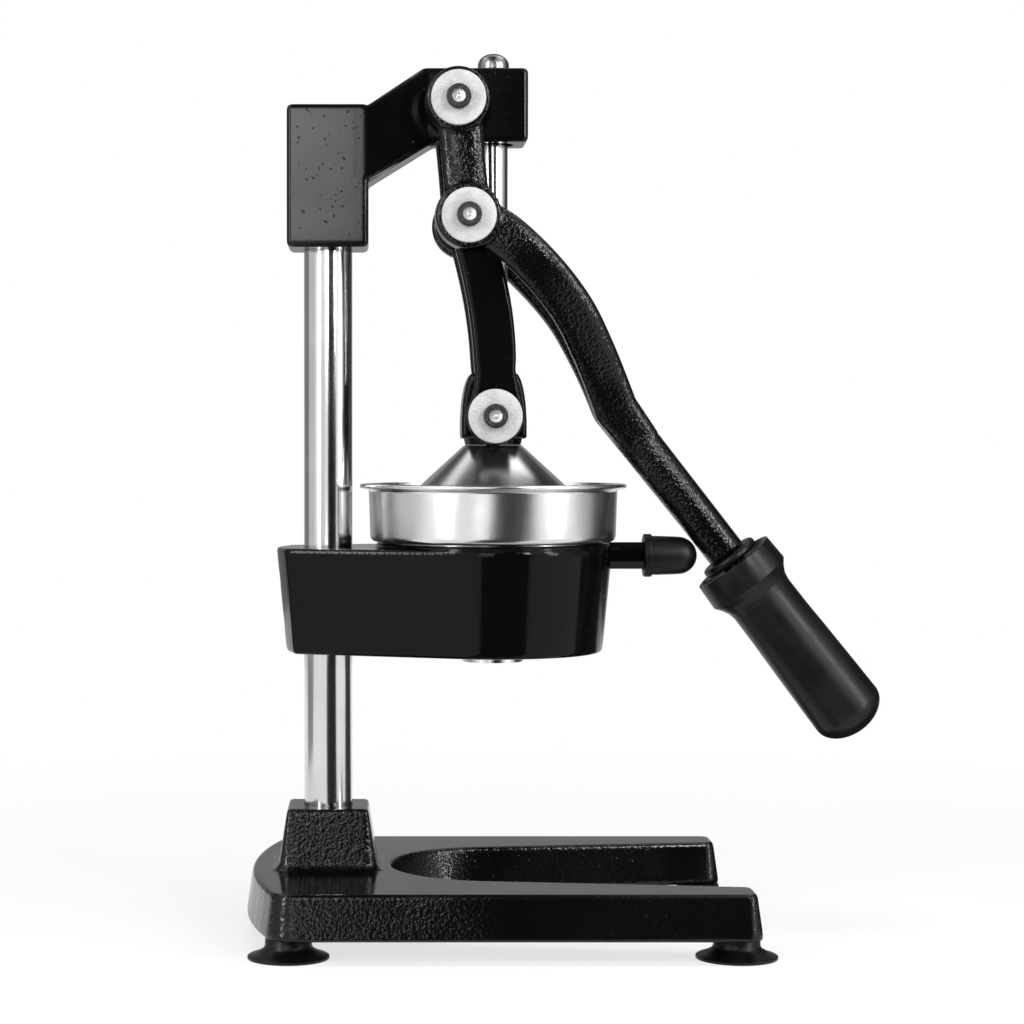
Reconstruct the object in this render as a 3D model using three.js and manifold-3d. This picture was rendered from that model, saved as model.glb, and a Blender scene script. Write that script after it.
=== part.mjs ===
// Lever citrus juice press.
// A cast horseshoe base carries one steel column. The column carries a cast head at its top and a cast
// carrier at half height. The carrier holds the juice cup and its strainer, and a bar with a rubber cap
// that the lever comes down on. A ram (guide rod, block and press cone) slides through the head, and a
// forked lever drives it through a pair of curved links.
// Millimetres, +Z up, +X towards the open end of the base, Y across. The lever is shown pressed down.
import * as THREE from "three";
import { mergeVertices } from "three/addons/utils/BufferGeometryUtils.js";
import Module from "manifold-3d";

const wasm = await Module();
wasm.setup();

// Fits that all pieces share
const fit = {
  gap: 0.3, // between two pieces that touch or run on each other
  overrun: 2, // how far a cutter passes the face that it cuts
};

// Facets: sides of a full circle on large, middling and small round pieces, and the turn per arc step
const sides = { large: 32, middle: 20, small: 10, octagon: 8, hexagon: 6, section: 12 };
const arcStep = Math.PI / 6;

// Rubber suction feet and their screws
const foot = {
  rimRadius: 18.2,
  neckRadius: 10.5,
  height: 10,
  rimThickness: 1,
  flareRise: 4,
  lipWidth: 1.6,
  recessRadius: 6.2,
  roof: 3.5,
  frontInset: 9.5,
  rearInset: 21.3,
  sideInset: 18.5,
};
const footScrew = { headRadius: 5.2, headHeight: 2.4, radius: 2.9, depth: 12 };

// Cast base: a horseshoe plate with the column's tapered socket on it
const base = {
  thickness: 20.4,
  halfWidth: 86.5,
  frontReach: 114.5,
  rearReach: 37.7,
  rearSag: 14,
  rearCornerRadius: 12,
  frontCornerRadius: 6,
  slotRadius: 44.5,
  slotSplay: THREE.MathUtils.degToRad(7.4),
  draft: 2.4,
  edgeRadius: 1.6,
};
const socket = { bottomWidth: 46, topWidth: 37, height: 27.9, corner: 5, edgeRadius: 1.6, floor: 7 };

// Column and the bolt that pulls it into its socket
const column = { radius: 11.2, chamfer: 1 };
const columnBolt = {
  headRadius: 8,
  headHeight: 5.3,
  radius: 4,
  grip: 22,
  washerRadius: 10,
  washerThickness: 1.6,
  recessDepth: 9,
};

// The guide axis: the cup, the ram and the slot of the base share it
const guide = { reach: 76.5, rodRadius: 6.7, bushWall: 2, bushLength: 12 };

// Cast carrier: a bowl, the arm that clamps it to the column, and the stop bar
const carrier = {
  clearance: 99.3,
  height: 48.8,
  bowlTopRadius: 55.5,
  draft: 4.5,
  wall: 4,
  floor: 5,
  rearReach: 24,
  rearHalfWidth: 23,
  rearSag: 4.7,
  edgeRadius: 1.6,
  outletRadius: 17,
  lipHeight: 2,
  lipWidth: 3,
};
const stop = {
  barAcross: 12.3,
  insertion: 16,
  capRadius: 9.2,
  capLength: 25,
  capWall: 3,
  flangeRadius: 10.1,
  flangeWidth: 4.5,
};

// Pressed steel cup: a rolled rim, a drum, a step that sits on the bowl, a funnel and a spout
const cup = {
  sheet: 1.2,
  drumOverhang: 2.2,
  drumTaper: 0.7,
  rimReach: 4.3,
  rimBead: 1.1,
  aboveBowl: 27,
  heelRadius: 3,
  stepClearance: 2.5,
  funnelDepth: 46.1,
  funnelShoulder: 6,
  funnelWallDepth: 25,
  spoutRadius: 14,
  spoutDrop: 4.6,
};

// Strainer: a slotted dome with a flat rim that rests on the cup's step
const strainer = {
  sheet: 1.2,
  rimClearance: 3,
  flatWidth: 18.5,
  height: 29,
  slots: 12,
  slotWidth: 2.4,
  slotStart: 14,
  slotEnd: 30,
  holes: 12,
  holeRadius: 1.8,
};
const domeRadiusShares = [1, 0.9, 0.62, 0.3, 0];
const domeHeightShares = [0, 0.24, 0.66, 0.93, 1];

// Ram: press cone, block, cross pin, guide rod and its cap
const cone = {
  topRadius: 14.2,
  cupClearance: 14.5,
  wall: 2.5,
  crown: 4,
  skirtHeight: 9,
  skirtClearance: 4,
  peelGap: 7.3,
};
const block = {
  width: 30,
  topWidth: 21.6,
  height: 30.4,
  halfDepth: 14.6,
  pinHeight: 10.3,
  bevel: 1.4,
  neckRadius: 12.5,
  neckHeight: 2.6,
};
const blockWidthShares = [0, 0.07, 0.4, 1];
const blockHeightShares = [0, 0.5, 0.79, 1];
const guideRod = { seat: 12, capRadius: 7.3, capHeight: 7.7, capDome: 5.6, capBore: 4, stud: 5 };

// Links between the ram's cross pin and the lever
const link = {
  length: 91.06,
  thickness: 8.6,
  width: 18.5,
  lowerEye: 13.4,
  upperEye: 14,
  bow: 4.5,
  bevel: 1.3,
};

// Pivot pins with the big washers and socket screws that close them
const pin = { radius: 6, tapDepth: 14 };
const washer = { radius: 12.5, thickness: 2.4, bore: 3.3 };
const capScrew = {
  headRadius: 5.5,
  headHeight: 4.5,
  radius: 3,
  length: 10,
  hexRadius: 2.9,
  hexDepth: 2.6,
  chamfer: 0.6,
};

// Lever: a yoke with two arms, each with an upper eye on the head and a lower eye on a link, and a shaft
const lever = {
  pivotSetback: 17.3,
  crank: 52.82,
  restAngle: THREE.MathUtils.degToRad(5.21),
  upperHubRadius: 13.5,
  upperHubFlare: 1.4,
  lowerHubRadius: 14.6,
  lowerHubFlare: 0.6,
  hubThickness: 12,
  crankHalfWidth: 10.4,
  crankHalfThickness: 4.8,
  armReach: 69,
  armDrop: 86.5,
  armHalfWidth: 10,
  armHalfThickness: 5.6,
  shaftRadius: 9.1,
  shaftLength: 85.3,
  shaftAngle: THREE.MathUtils.degToRad(37.8),
  tangRadius: 6,
  tangLength: 78,
};
const armReachShares = [0, 0.2, 0.38, 0.56, 0.715, 0.84, 0.93, 1];
const armDropShares = [0, 0.075, 0.195, 0.345, 0.51, 0.7, 0.86, 1];
const armSpreadShares = [1, 1, 0.98, 0.87, 0.68, 0.45, 0.26, 0.13];
const armWidthShares = [1, 1, 1, 1, 1, 0.98, 0.95, 0.93];
const armThicknessShares = [0.9, 1, 1, 1, 1.02, 1.06, 1.14, 1.3];

// Grip on the lever's end, with the ring in front of it
const grip = {
  length: 99,
  flangeRadius: 20.2,
  flangeFlare: 0.8,
  flangeLength: 13,
  neckStart: 20,
  neckRadius: 15.6,
  bellyRadius: 16.2,
  domeRadius: 17.2,
  domeLength: 12,
  ringRadius: 14,
  ringLength: 4,
};

// Cast head: a block on the column, and an arm whose end is the boss for the guide rod
const head = {
  blockHalfLength: 18.7,
  blockHeight: 65.2,
  blockHalfWidth: 18.75,
  armRise: 17.1,
  armTopStart: 44.1,
  bossHeight: 34,
  bossReach: 15.4,
  armHalfWidth: 14.6,
  underArmDrop: 35.4,
  underArmEnd: 48.8,
  fairingEnd: 45,
  pivotBossRadius: 13,
  pivotBelowTop: 16.8,
  cornerRadius: 3.6,
  edgeRadius: 2.2,
  columnRoof: 10,
};
const grub = { radius: 4, hexRadius: 2.3, hexDepth: 2.6, spread: 34, carrierSpread: 20, sunk: 1.2 };

// Heights and places that follow from the sizes above
const baseTop = foot.height + base.thickness;
const socketTop = baseTop + socket.height;
const columnFoot = foot.height + columnBolt.recessDepth + socket.floor;
const carrierFloor = baseTop + carrier.clearance;
const carrierTop = carrierFloor + carrier.height;
const cupStep = carrierTop + carrier.lipHeight + fit.gap;
const bowlInnerRadius = carrier.bowlTopRadius - carrier.wall;
const drumRadius = carrier.bowlTopRadius + cup.drumOverhang;
const cupRimRadius = drumRadius + cup.rimReach;
const cupStepRadius = bowlInnerRadius - cup.stepClearance;
const strainerRadius = drumRadius - cup.sheet - strainer.rimClearance;
const strainerDomeRadius = strainerRadius - strainer.flatWidth;
const skirtRadius = drumRadius - cup.sheet - cone.cupClearance;
const cupRimTop = cupStep + cup.aboveBowl;
const strainerFloor = cupStep + cup.heelRadius + cup.sheet + fit.gap;
const coneCeiling = strainerFloor + strainer.height + cone.peelGap;
const coneTop = coneCeiling + cone.crown;
const blockFloor = coneTop + fit.gap + block.neckHeight;
const ramPin = { x: guide.reach, z: blockFloor + block.pinHeight };
const pivot = { x: guide.reach - lever.pivotSetback };
const linkPin = { x: pivot.x + lever.crank * Math.sin(lever.restAngle) };
linkPin.z = ramPin.z + Math.sqrt(link.length ** 2 - (linkPin.x - ramPin.x) ** 2);
pivot.z = linkPin.z + lever.crank * Math.cos(lever.restAngle);
const headTop = pivot.z + head.pivotBelowTop;
const blockTop = headTop - head.armRise;
const headFloor = blockTop - head.blockHeight;
const bossFloor = headTop - head.bossHeight;
const columnTop = blockTop - head.columnRoof - fit.gap;
const linkInner = block.halfDepth + 2 * fit.gap;
const hubInner = linkInner + link.thickness + 2 * fit.gap;
const hubOuter = hubInner + lever.hubThickness;
const kink = { x: linkPin.x + lever.armReach, z: linkPin.z - lever.armDrop };
const shaftDirection = new THREE.Vector3(Math.sin(lever.shaftAngle), 0, -Math.cos(lever.shaftAngle));
const shaftEnd = new THREE.Vector3(kink.x, 0, kink.z).addScaledVector(shaftDirection, lever.shaftLength);

// Materials
const cast = { color: 0x0c0c0d, roughness: 0.28, metalness: 0.35 };
const materials = {
  paint: new THREE.MeshStandardMaterial(cast),
  chrome: new THREE.MeshStandardMaterial({ color: 0xd8d8da, roughness: 0.12, metalness: 1 }),
  steel: new THREE.MeshStandardMaterial({ color: 0xb9b9bb, roughness: 0.32, metalness: 1 }),
  washer: new THREE.MeshStandardMaterial({ color: 0xd2d2d4, roughness: 0.45, metalness: 0.9 }),
  screw: new THREE.MeshStandardMaterial({ color: 0x5d5d60, roughness: 0.4, metalness: 0.9 }),
  bronze: new THREE.MeshStandardMaterial({ color: 0x9a7440, roughness: 0.4, metalness: 0.9 }),
  rubber: new THREE.MeshStandardMaterial({ color: 0x0e0e0e, roughness: 0.75, metalness: 0 }),
  plastic: new THREE.MeshStandardMaterial({ color: 0x121213, roughness: 0.45, metalness: 0 }),
};

// A closed three.js geometry as a manifold-3d solid, with its faces turned out
function solidOf(geometry) {
  const bare = geometry.index ? geometry.toNonIndexed() : geometry;
  const positions = new THREE.BufferGeometry().setAttribute("position", bare.getAttribute("position"));
  const merged = mergeVertices(positions);
  const points = merged.getAttribute("position").array;
  const corners = merged.index.array;
  const faces = [];
  const [a, b, c] = [new THREE.Vector3(), new THREE.Vector3(), new THREE.Vector3()];
  let volume = 0;
  for (let i = 0; i < corners.length; i += 3) {
    const [p, q, r] = [corners[i], corners[i + 1], corners[i + 2]];
    if (p === q || q === r || r === p) continue;
    faces.push([p, q, r]);
    volume += a.fromArray(points, p * 3).dot(b.fromArray(points, q * 3).cross(c.fromArray(points, r * 3)));
  }
  const turned = volume < 0 ? faces.map(([p, q, r]) => [p, r, q]) : faces;
  const triVerts = new Uint32Array(turned.flat());
  return new wasm.Manifold(new wasm.Mesh({ numProp: 3, vertProperties: new Float32Array(points), triVerts }));
}

const joined = (first, ...others) => others.reduce((sum, other) => sum.add(other), first);
const without = (first, ...cutters) => cutters.reduce((rest, cutter) => rest.subtract(cutter), first);

// A solid as a named mesh
function piece(name, solid, material) {
  const made = solid.getMesh();
  const geometry = new THREE.BufferGeometry();
  geometry.setAttribute("position", new THREE.BufferAttribute(new Float32Array(made.vertProperties), 3));
  geometry.setIndex(new THREE.BufferAttribute(new Uint32Array(made.triVerts), 1));
  geometry.computeVertexNormals();
  const mesh = new THREE.Mesh(geometry, material);
  mesh.name = name;
  return mesh;
}

// The same geometry with its +Z axis laid along a direction, and its origin at a point
function aimed(geometry, start, direction) {
  const turn = new THREE.Quaternion().setFromUnitVectors(new THREE.Vector3(0, 0, 1), direction);
  return geometry.applyQuaternion(turn).translate(start.x, start.y, start.z);
}

const upward = new THREE.Vector3(0, 0, 1);
const acrossTo = (side) => new THREE.Vector3(0, side, 0);

// Solid of revolution: profile is a list of [radius, height along the axis]
function turnedForm(profile, segments, start = new THREE.Vector3(), direction = upward) {
  const points = profile.map(([radius, height]) => new THREE.Vector2(radius, height));
  const geometry = new THREE.LatheGeometry(points, segments).rotateX(Math.PI / 2);
  return solidOf(aimed(geometry, start, direction));
}

// Plain round bar from one height to another along an axis
function bar(radius, low, high, segments, start, direction) {
  const profile = [
    [0, low],
    [radius, low],
    [radius, high],
    [0, high],
  ];
  return turnedForm(profile, segments, start, direction);
}

// Outline with its corners rounded: corners is a counterclockwise list of [x, y, radius]
function roundedOutline(corners) {
  const outline = [];
  corners.forEach(([x, y, radius], i) => {
    const corner = new THREE.Vector2(x, y);
    const previous = corners[(i + corners.length - 1) % corners.length];
    const next = corners[(i + 1) % corners.length];
    if (!radius) {
      outline.push(corner);
      return;
    }
    const back = new THREE.Vector2(previous[0], previous[1]).sub(corner).normalize();
    const ahead = new THREE.Vector2(next[0], next[1]).sub(corner).normalize();
    const half = Math.acos(THREE.MathUtils.clamp(back.dot(ahead), -1, 1)) / 2;
    const middle = back.clone().add(ahead).normalize();
    const centre = corner.clone().addScaledVector(middle, radius / Math.sin(half));
    const start = corner.clone().addScaledVector(back, radius / Math.tan(half)).sub(centre);
    const sweep = (Math.PI - 2 * half) * Math.sign(ahead.cross(back));
    const steps = Math.max(1, Math.ceil(Math.abs(sweep) / arcStep));
    for (let k = 0; k <= steps; k++) {
      outline.push(start.clone().rotateAround(new THREE.Vector2(), (sweep * k) / steps).add(centre));
    }
  });
  return outline;
}

// The same outline drawn in by a distance
function inset(outline, distance) {
  return outline.map((point, i) => {
    const previous = outline[(i + outline.length - 1) % outline.length];
    const next = outline[(i + 1) % outline.length];
    const [into, outOf] = [point.clone().sub(previous).normalize(), next.clone().sub(point).normalize()];
    const first = new THREE.Vector2(-into.y, into.x);
    const second = new THREE.Vector2(-outOf.y, outOf.x);
    const scale = distance / (1 + first.dot(second));
    return point.clone().addScaledVector(first.add(second), scale);
  });
}

// Closed geometry through rings of equally many points, each ring a list of Vector3
function ringForm(rings, capFaces) {
  const count = rings[0].length;
  const positions = rings.flat().flatMap((point) => point.toArray());
  const faces = [];
  for (let ring = 0; ring < rings.length - 1; ring++) {
    for (let i = 0; i < count; i++) {
      const next = (i + 1) % count;
      const [a, b] = [ring * count + i, ring * count + next];
      faces.push(a, b, b + count, a, b + count, a + count);
    }
  }
  const last = (rings.length - 1) * count;
  capFaces.forEach(([a, b, c]) => faces.push(c, b, a, last + a, last + b, last + c));
  const geometry = new THREE.BufferGeometry();
  geometry.setAttribute("position", new THREE.Float32BufferAttribute(positions, 3));
  geometry.setIndex(faces);
  return geometry;
}

// Plate of an outline: levels is a list of [height, how far the outline is drawn in there]
function plate(outline, levels) {
  const rings = levels.map(([height, drawn]) =>
    inset(outline, drawn).map((point) => new THREE.Vector3(point.x, point.y, height)),
  );
  return ringForm(rings, THREE.ShapeUtils.triangulateShape(outline, []));
}

// Plate levels from low to high with softened edges on both faces
function softLevels(low, high, softness) {
  return [
    [low, softness],
    [low + softness * (1 - Math.SQRT1_2), softness * (1 - Math.SQRT1_2)],
    [low + softness, 0],
    [high - softness, 0],
    [high - softness * (1 - Math.SQRT1_2), softness * (1 - Math.SQRT1_2)],
    [high, softness],
  ];
}

// Plate that stands on edge: its outline is drawn in X and Z, and it reaches from Y low to Y high
function standingPlate(outline, low, high, softness) {
  return solidOf(plate(outline, softLevels(-high, -low, softness)).rotateX(Math.PI / 2));
}

// Bar of changing oval section along a path in space: stations hold a point and two half sizes
function sweptBar(stations) {
  const rings = stations.map(({ point, halfWidth, halfThickness }, i) => {
    const before = stations[Math.max(i - 1, 0)].point;
    const after = stations[Math.min(i + 1, stations.length - 1)].point;
    const along = after.clone().sub(before).normalize();
    const wide = new THREE.Vector3(0, 1, 0).cross(along).normalize();
    const thick = along.clone().cross(wide);
    return Array.from({ length: sides.section }, (_, k) => {
      const angle = (k / sides.section) * 2 * Math.PI;
      const [across, up] = [Math.cos(angle), Math.sin(angle)];
      return point
        .clone()
        .addScaledVector(wide, halfWidth * Math.sign(across) * Math.sqrt(Math.abs(across)) ** 1.4)
        .addScaledVector(thick, halfThickness * Math.sign(up) * Math.sqrt(Math.abs(up)) ** 1.4);
    });
  });
  const section = Array.from({ length: sides.section }, (_, k) => {
    const angle = (k / sides.section) * 2 * Math.PI;
    return new THREE.Vector2(Math.cos(angle), Math.sin(angle));
  });
  return solidOf(ringForm(rings, THREE.ShapeUtils.triangulateShape(section, [])));
}

// Socket-head cap screw: the head stands on Z zero and the shank goes down
function socketScrew() {
  const { headRadius, headHeight, radius, length, hexRadius, hexDepth, chamfer } = capScrew;
  const body = turnedForm(
    [
      [0, -length],
      [radius, -length],
      [radius, 0],
      [headRadius, 0],
      [headRadius, headHeight - chamfer],
      [headRadius - chamfer, headHeight],
      [0, headHeight],
    ],
    sides.small,
  );
  return without(body, bar(hexRadius, headHeight - hexDepth, headHeight + fit.overrun, sides.hexagon));
}

// Large flat washer with its inner face on Z zero
function bigWasher() {
  const { radius, thickness, bore } = washer;
  return turnedForm(
    [
      [bore, 0],
      [radius, 0],
      [radius, thickness],
      [bore, thickness],
      [bore, 0],
    ],
    sides.middle,
  );
}

// Grub screw: its outer end is on Z zero and it goes down
function grubScrew(length) {
  const body = bar(grub.radius, -length, 0, sides.small);
  return without(body, bar(grub.hexRadius, -grub.hexDepth, fit.overrun, sides.hexagon));
}

// Foot: a suction cup with a neck, hollow below, with a hole for its screw
function suctionFoot() {
  const { rimRadius, neckRadius, height, rimThickness, flareRise, lipWidth } = foot;
  const top = height - fit.gap;
  const bore = footScrew.radius + fit.gap;
  const roof = top - foot.roof;
  return turnedForm(
    [
      [rimRadius, 0],
      [rimRadius, rimThickness],
      [(rimRadius + neckRadius) / 2, (rimThickness + flareRise) / 2],
      [neckRadius, flareRise],
      [neckRadius, top],
      [bore, top],
      [bore, roof],
      [foot.recessRadius, roof],
      [foot.recessRadius, roof - footScrew.headHeight / 2],
      [rimRadius - lipWidth, 0],
      [rimRadius, 0],
    ],
    sides.middle,
  );
}

// Foot screw with the underside of its head on Z zero
function studScrew() {
  const { headRadius, headHeight, radius, depth } = footScrew;
  return turnedForm(
    [
      [0, -headHeight],
      [headRadius / 2, -headHeight],
      [headRadius, -headHeight / 2],
      [headRadius, 0],
      [radius, 0],
      [radius, depth],
      [0, depth],
    ],
    sides.small,
  );
}

const frontEdge = guide.reach + base.frontReach;
const footPlaces = [
  ["front_near", frontEdge - foot.frontInset, -1],
  ["front_far", frontEdge - foot.frontInset, 1],
  ["rear_near", foot.rearInset - base.rearReach, -1],
  ["rear_far", foot.rearInset - base.rearReach, 1],
];
const footSide = base.halfWidth - foot.sideInset;

// Base casting
function baseCasting() {
  const { halfWidth, rearReach, rearSag, slotRadius, slotSplay } = base;
  const slotStart = guide.reach - slotRadius * Math.sin(slotSplay);
  const slotMouth = slotRadius * Math.cos(slotSplay) + (frontEdge - slotStart) * Math.tan(slotSplay);
  const slotSweep = Math.PI - 2 * slotSplay;
  const slotSteps = Math.ceil(slotSweep / (arcStep / 2));
  const slotEnd = Array.from({ length: slotSteps + 1 }, (_, k) => {
    const angle = 1.5 * Math.PI - slotSplay - (slotSweep * k) / slotSteps;
    return [guide.reach + slotRadius * Math.cos(angle), slotRadius * Math.sin(angle), 0];
  });
  const rearShares = [0.7, 0.35, 0, -0.35, -0.7];
  const rearEdge = rearShares.map((share) => [rearSag * share ** 2 - rearReach, halfWidth * share, 0]);
  const outline = roundedOutline([
    [frontEdge, -halfWidth, base.frontCornerRadius],
    [frontEdge, -slotMouth, base.frontCornerRadius],
    ...slotEnd,
    [frontEdge, slotMouth, base.frontCornerRadius],
    [frontEdge, halfWidth, base.frontCornerRadius],
    [rearSag - rearReach, halfWidth, base.rearCornerRadius],
    ...rearEdge,
    [rearSag - rearReach, -halfWidth, base.rearCornerRadius],
  ]);
  const soft = base.edgeRadius;
  const body = solidOf(
    plate(outline, [
      [foot.height, soft / 2],
      [foot.height + soft / 2, 0],
      [baseTop - soft, base.draft],
      [baseTop - soft * (1 - Math.SQRT1_2), base.draft + soft * (1 - Math.SQRT1_2)],
      [baseTop, base.draft + soft],
    ]),
  );
  const [wide, narrow] = [socket.bottomWidth / 2, socket.topWidth / 2];
  const foundation = baseTop - base.edgeRadius;
  const square = roundedOutline([
    [-wide, -wide, socket.corner],
    [wide, -wide, socket.corner],
    [wide, wide, socket.corner],
    [-wide, wide, socket.corner],
  ]);
  const tower = solidOf(
    plate(square, [
      [foundation, 0],
      [baseTop, 0],
      [socketTop - socket.edgeRadius, wide - narrow - socket.edgeRadius / 2],
      [socketTop, wide - narrow],
    ]),
  );
  const footHoles = footPlaces.map(([, x, side]) =>
    bar(
      footScrew.radius + fit.gap,
      foot.height - fit.overrun,
      foot.height + footScrew.depth,
      sides.small,
      new THREE.Vector3(x, side * footSide, 0),
    ),
  );
  return without(
    joined(body, tower),
    bar(column.radius + fit.gap, columnFoot - fit.gap, socketTop + fit.overrun, sides.middle),
    bar(columnBolt.radius + fit.gap, 0, socketTop, sides.small),
    bar(columnBolt.washerRadius + fit.gap, 0, foot.height + columnBolt.recessDepth, sides.middle),
    ...footHoles,
  );
}

// Column: a bar with a tapped foot
function columnBar() {
  const { radius, chamfer } = column;
  const body = turnedForm(
    [
      [0, columnFoot],
      [radius - chamfer, columnFoot],
      [radius, columnFoot + chamfer],
      [radius, columnTop - chamfer],
      [radius - chamfer, columnTop],
      [0, columnTop],
    ],
    sides.middle,
  );
  const tapped = columnFoot + columnBolt.grip + fit.gap;
  return without(body, bar(columnBolt.radius + fit.gap, 0, tapped, sides.small));
}

// Bolt under the base, with the underside of its head on Z zero
function hexBolt() {
  const shank = socket.floor + columnBolt.washerThickness + columnBolt.grip;
  return joined(
    bar(columnBolt.headRadius, -columnBolt.headHeight, 0, sides.hexagon),
    bar(columnBolt.radius, -columnBolt.headHeight / 2, shank, sides.small),
  );
}

function plainWasher() {
  const { radius, washerRadius, washerThickness } = columnBolt;
  const bore = radius + fit.gap;
  return turnedForm(
    [
      [bore, 0],
      [washerRadius, 0],
      [washerRadius, washerThickness],
      [bore, washerThickness],
      [bore, 0],
    ],
    sides.small,
  );
}

const stopHeight = carrierTop + carrier.lipHeight - stop.barAcross / 2;
const stopBarRadius = stop.barAcross / 2 / Math.cos(Math.PI / sides.octagon);

// X at which a cap on the stop bar's axis meets one round stretch of the lever, given its radius and where
// it starts and ends along the shaft's line; null where the bar's axis passes beyond its ends
function capLimit(radius, start, end) {
  const reach = radius + stop.capRadius + fit.gap;
  const along = (kink.z - stopHeight - reach * Math.sin(lever.shaftAngle)) / Math.cos(lever.shaftAngle);
  const nearest = THREE.MathUtils.clamp(along, start, end);
  const corner = new THREE.Vector2(
    kink.x + nearest * Math.sin(lever.shaftAngle) - radius * Math.cos(lever.shaftAngle),
    kink.z - nearest * Math.cos(lever.shaftAngle) - radius * Math.sin(lever.shaftAngle),
  );
  if (nearest === along) {
    return kink.x + along * Math.sin(lever.shaftAngle) - reach * Math.cos(lever.shaftAngle);
  }
  const side = stop.capRadius + fit.gap;
  const off = corner.y - stopHeight;
  return Math.abs(off) < side ? corner.x - Math.sqrt(side ** 2 - off ** 2) : null;
}
const ringStart = lever.shaftLength + fit.gap;
const gripStart = ringStart + grip.ringLength + fit.gap;
const capLimits = [
  capLimit(lever.shaftRadius, 0, lever.shaftLength),
  capLimit(grip.ringRadius, ringStart, ringStart + grip.ringLength),
  capLimit(grip.flangeRadius, gripStart, gripStart + grip.flangeLength),
  capLimit(grip.domeRadius, gripStart + grip.flangeLength, gripStart + grip.length),
];
const capCentre = Math.min(...capLimits.filter((limit) => limit !== null));
const capMouth = capCentre + stop.capRadius - stop.capLength;

// Carrier casting: the bowl and clamp arm in one outline, hollowed, with the stop bar on its front
function carrierCasting() {
  const { bowlTopRadius, draft, wall, floor, rearReach, rearHalfWidth, rearSag, edgeRadius } = carrier;
  const tangent = Math.acos((bowlTopRadius - rearHalfWidth) / (guide.reach + rearReach - rearSag));
  const sweep = 2 * (Math.PI - tangent);
  const steps = Math.ceil(sweep / (arcStep / 2));
  const bowl = Array.from({ length: steps + 1 }, (_, k) => {
    const angle = tangent - Math.PI + (sweep * k) / steps;
    return [guide.reach + bowlTopRadius * Math.cos(angle), bowlTopRadius * Math.sin(angle), 0];
  });
  const outline = roundedOutline([
    ...bowl,
    [rearSag - rearReach, rearHalfWidth, edgeRadius * 2],
    [-rearReach, rearHalfWidth / 3, 0],
    [-rearReach, -rearHalfWidth / 3, 0],
    [rearSag - rearReach, -rearHalfWidth, edgeRadius * 2],
  ]);
  const body = solidOf(
    plate(outline, [
      [carrierFloor, draft + edgeRadius],
      [carrierFloor + edgeRadius, draft],
      [carrierTop - edgeRadius, 0],
      [carrierTop, edgeRadius / 2],
    ]),
  );
  const axis = new THREE.Vector3(guide.reach, 0, 0);
  const hollow = turnedForm(
    [
      [0, carrierFloor + floor],
      [bowlTopRadius - draft - wall, carrierFloor + floor],
      [bowlInnerRadius, carrierTop + 2 * carrier.lipHeight],
      [0, carrierTop + 2 * carrier.lipHeight],
    ],
    sides.large,
    axis,
  );
  const lip = turnedForm(
    [
      [bowlInnerRadius, carrierTop - wall],
      [bowlInnerRadius + carrier.lipWidth, carrierTop - wall],
      [bowlInnerRadius + carrier.lipWidth, carrierTop + carrier.lipHeight],
      [bowlInnerRadius, carrierTop + carrier.lipHeight],
      [bowlInnerRadius, carrierTop - wall],
    ],
    sides.large,
    axis,
  );
  const outlet = bar(carrier.outletRadius, 0, carrierTop, sides.middle, axis);
  const barStart = guide.reach + bowlTopRadius - wall / 2;
  const barLength = capMouth + stop.insertion - barStart;
  const stopBar = solidOf(
    new THREE.CylinderGeometry(stopBarRadius, stopBarRadius, barLength, sides.octagon)
      .rotateY(Math.PI / sides.octagon)
      .rotateZ(-Math.PI / 2)
      .translate(barStart + barLength / 2, 0, stopHeight),
  );
  const screwHoles = [-1, 1].map((side) =>
    bar(
      grub.radius + fit.gap,
      0,
      rearReach + fit.overrun,
      sides.small,
      new THREE.Vector3(0, 0, carrierFloor + (carrier.height + side * grub.carrierSpread) / 2),
      new THREE.Vector3(-1, 0, 0),
    ),
  );
  return without(
    joined(without(body, hollow, outlet), lip, stopBar),
    bar(column.radius + fit.gap, 0, carrierTop + fit.overrun, sides.middle),
    ...screwHoles,
  );
}

// Rubber cap of the stop bar, with a round end towards the lever
function stopCap() {
  const { capRadius, flangeRadius, flangeWidth, insertion, capLength } = stop;
  const bore = stopBarRadius + fit.gap;
  const shoulder = capLength - capRadius;
  const roundEnd = [1, 2, 3, 4].map((k) => {
    const angle = (k / 5) * (Math.PI / 2);
    return [capRadius * Math.cos(angle), shoulder + capRadius * Math.sin(angle)];
  });
  return turnedForm(
    [
      [bore, 0],
      [flangeRadius, 0],
      [flangeRadius, flangeWidth],
      [capRadius, flangeWidth],
      [capRadius, shoulder],
      ...roundEnd,
      [0, capLength],
      [0, insertion + fit.gap],
      [bore, insertion + fit.gap],
      [bore, 0],
    ],
    sides.middle,
    new THREE.Vector3(capMouth, 0, stopHeight),
    new THREE.Vector3(1, 0, 0),
  );
}

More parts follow.
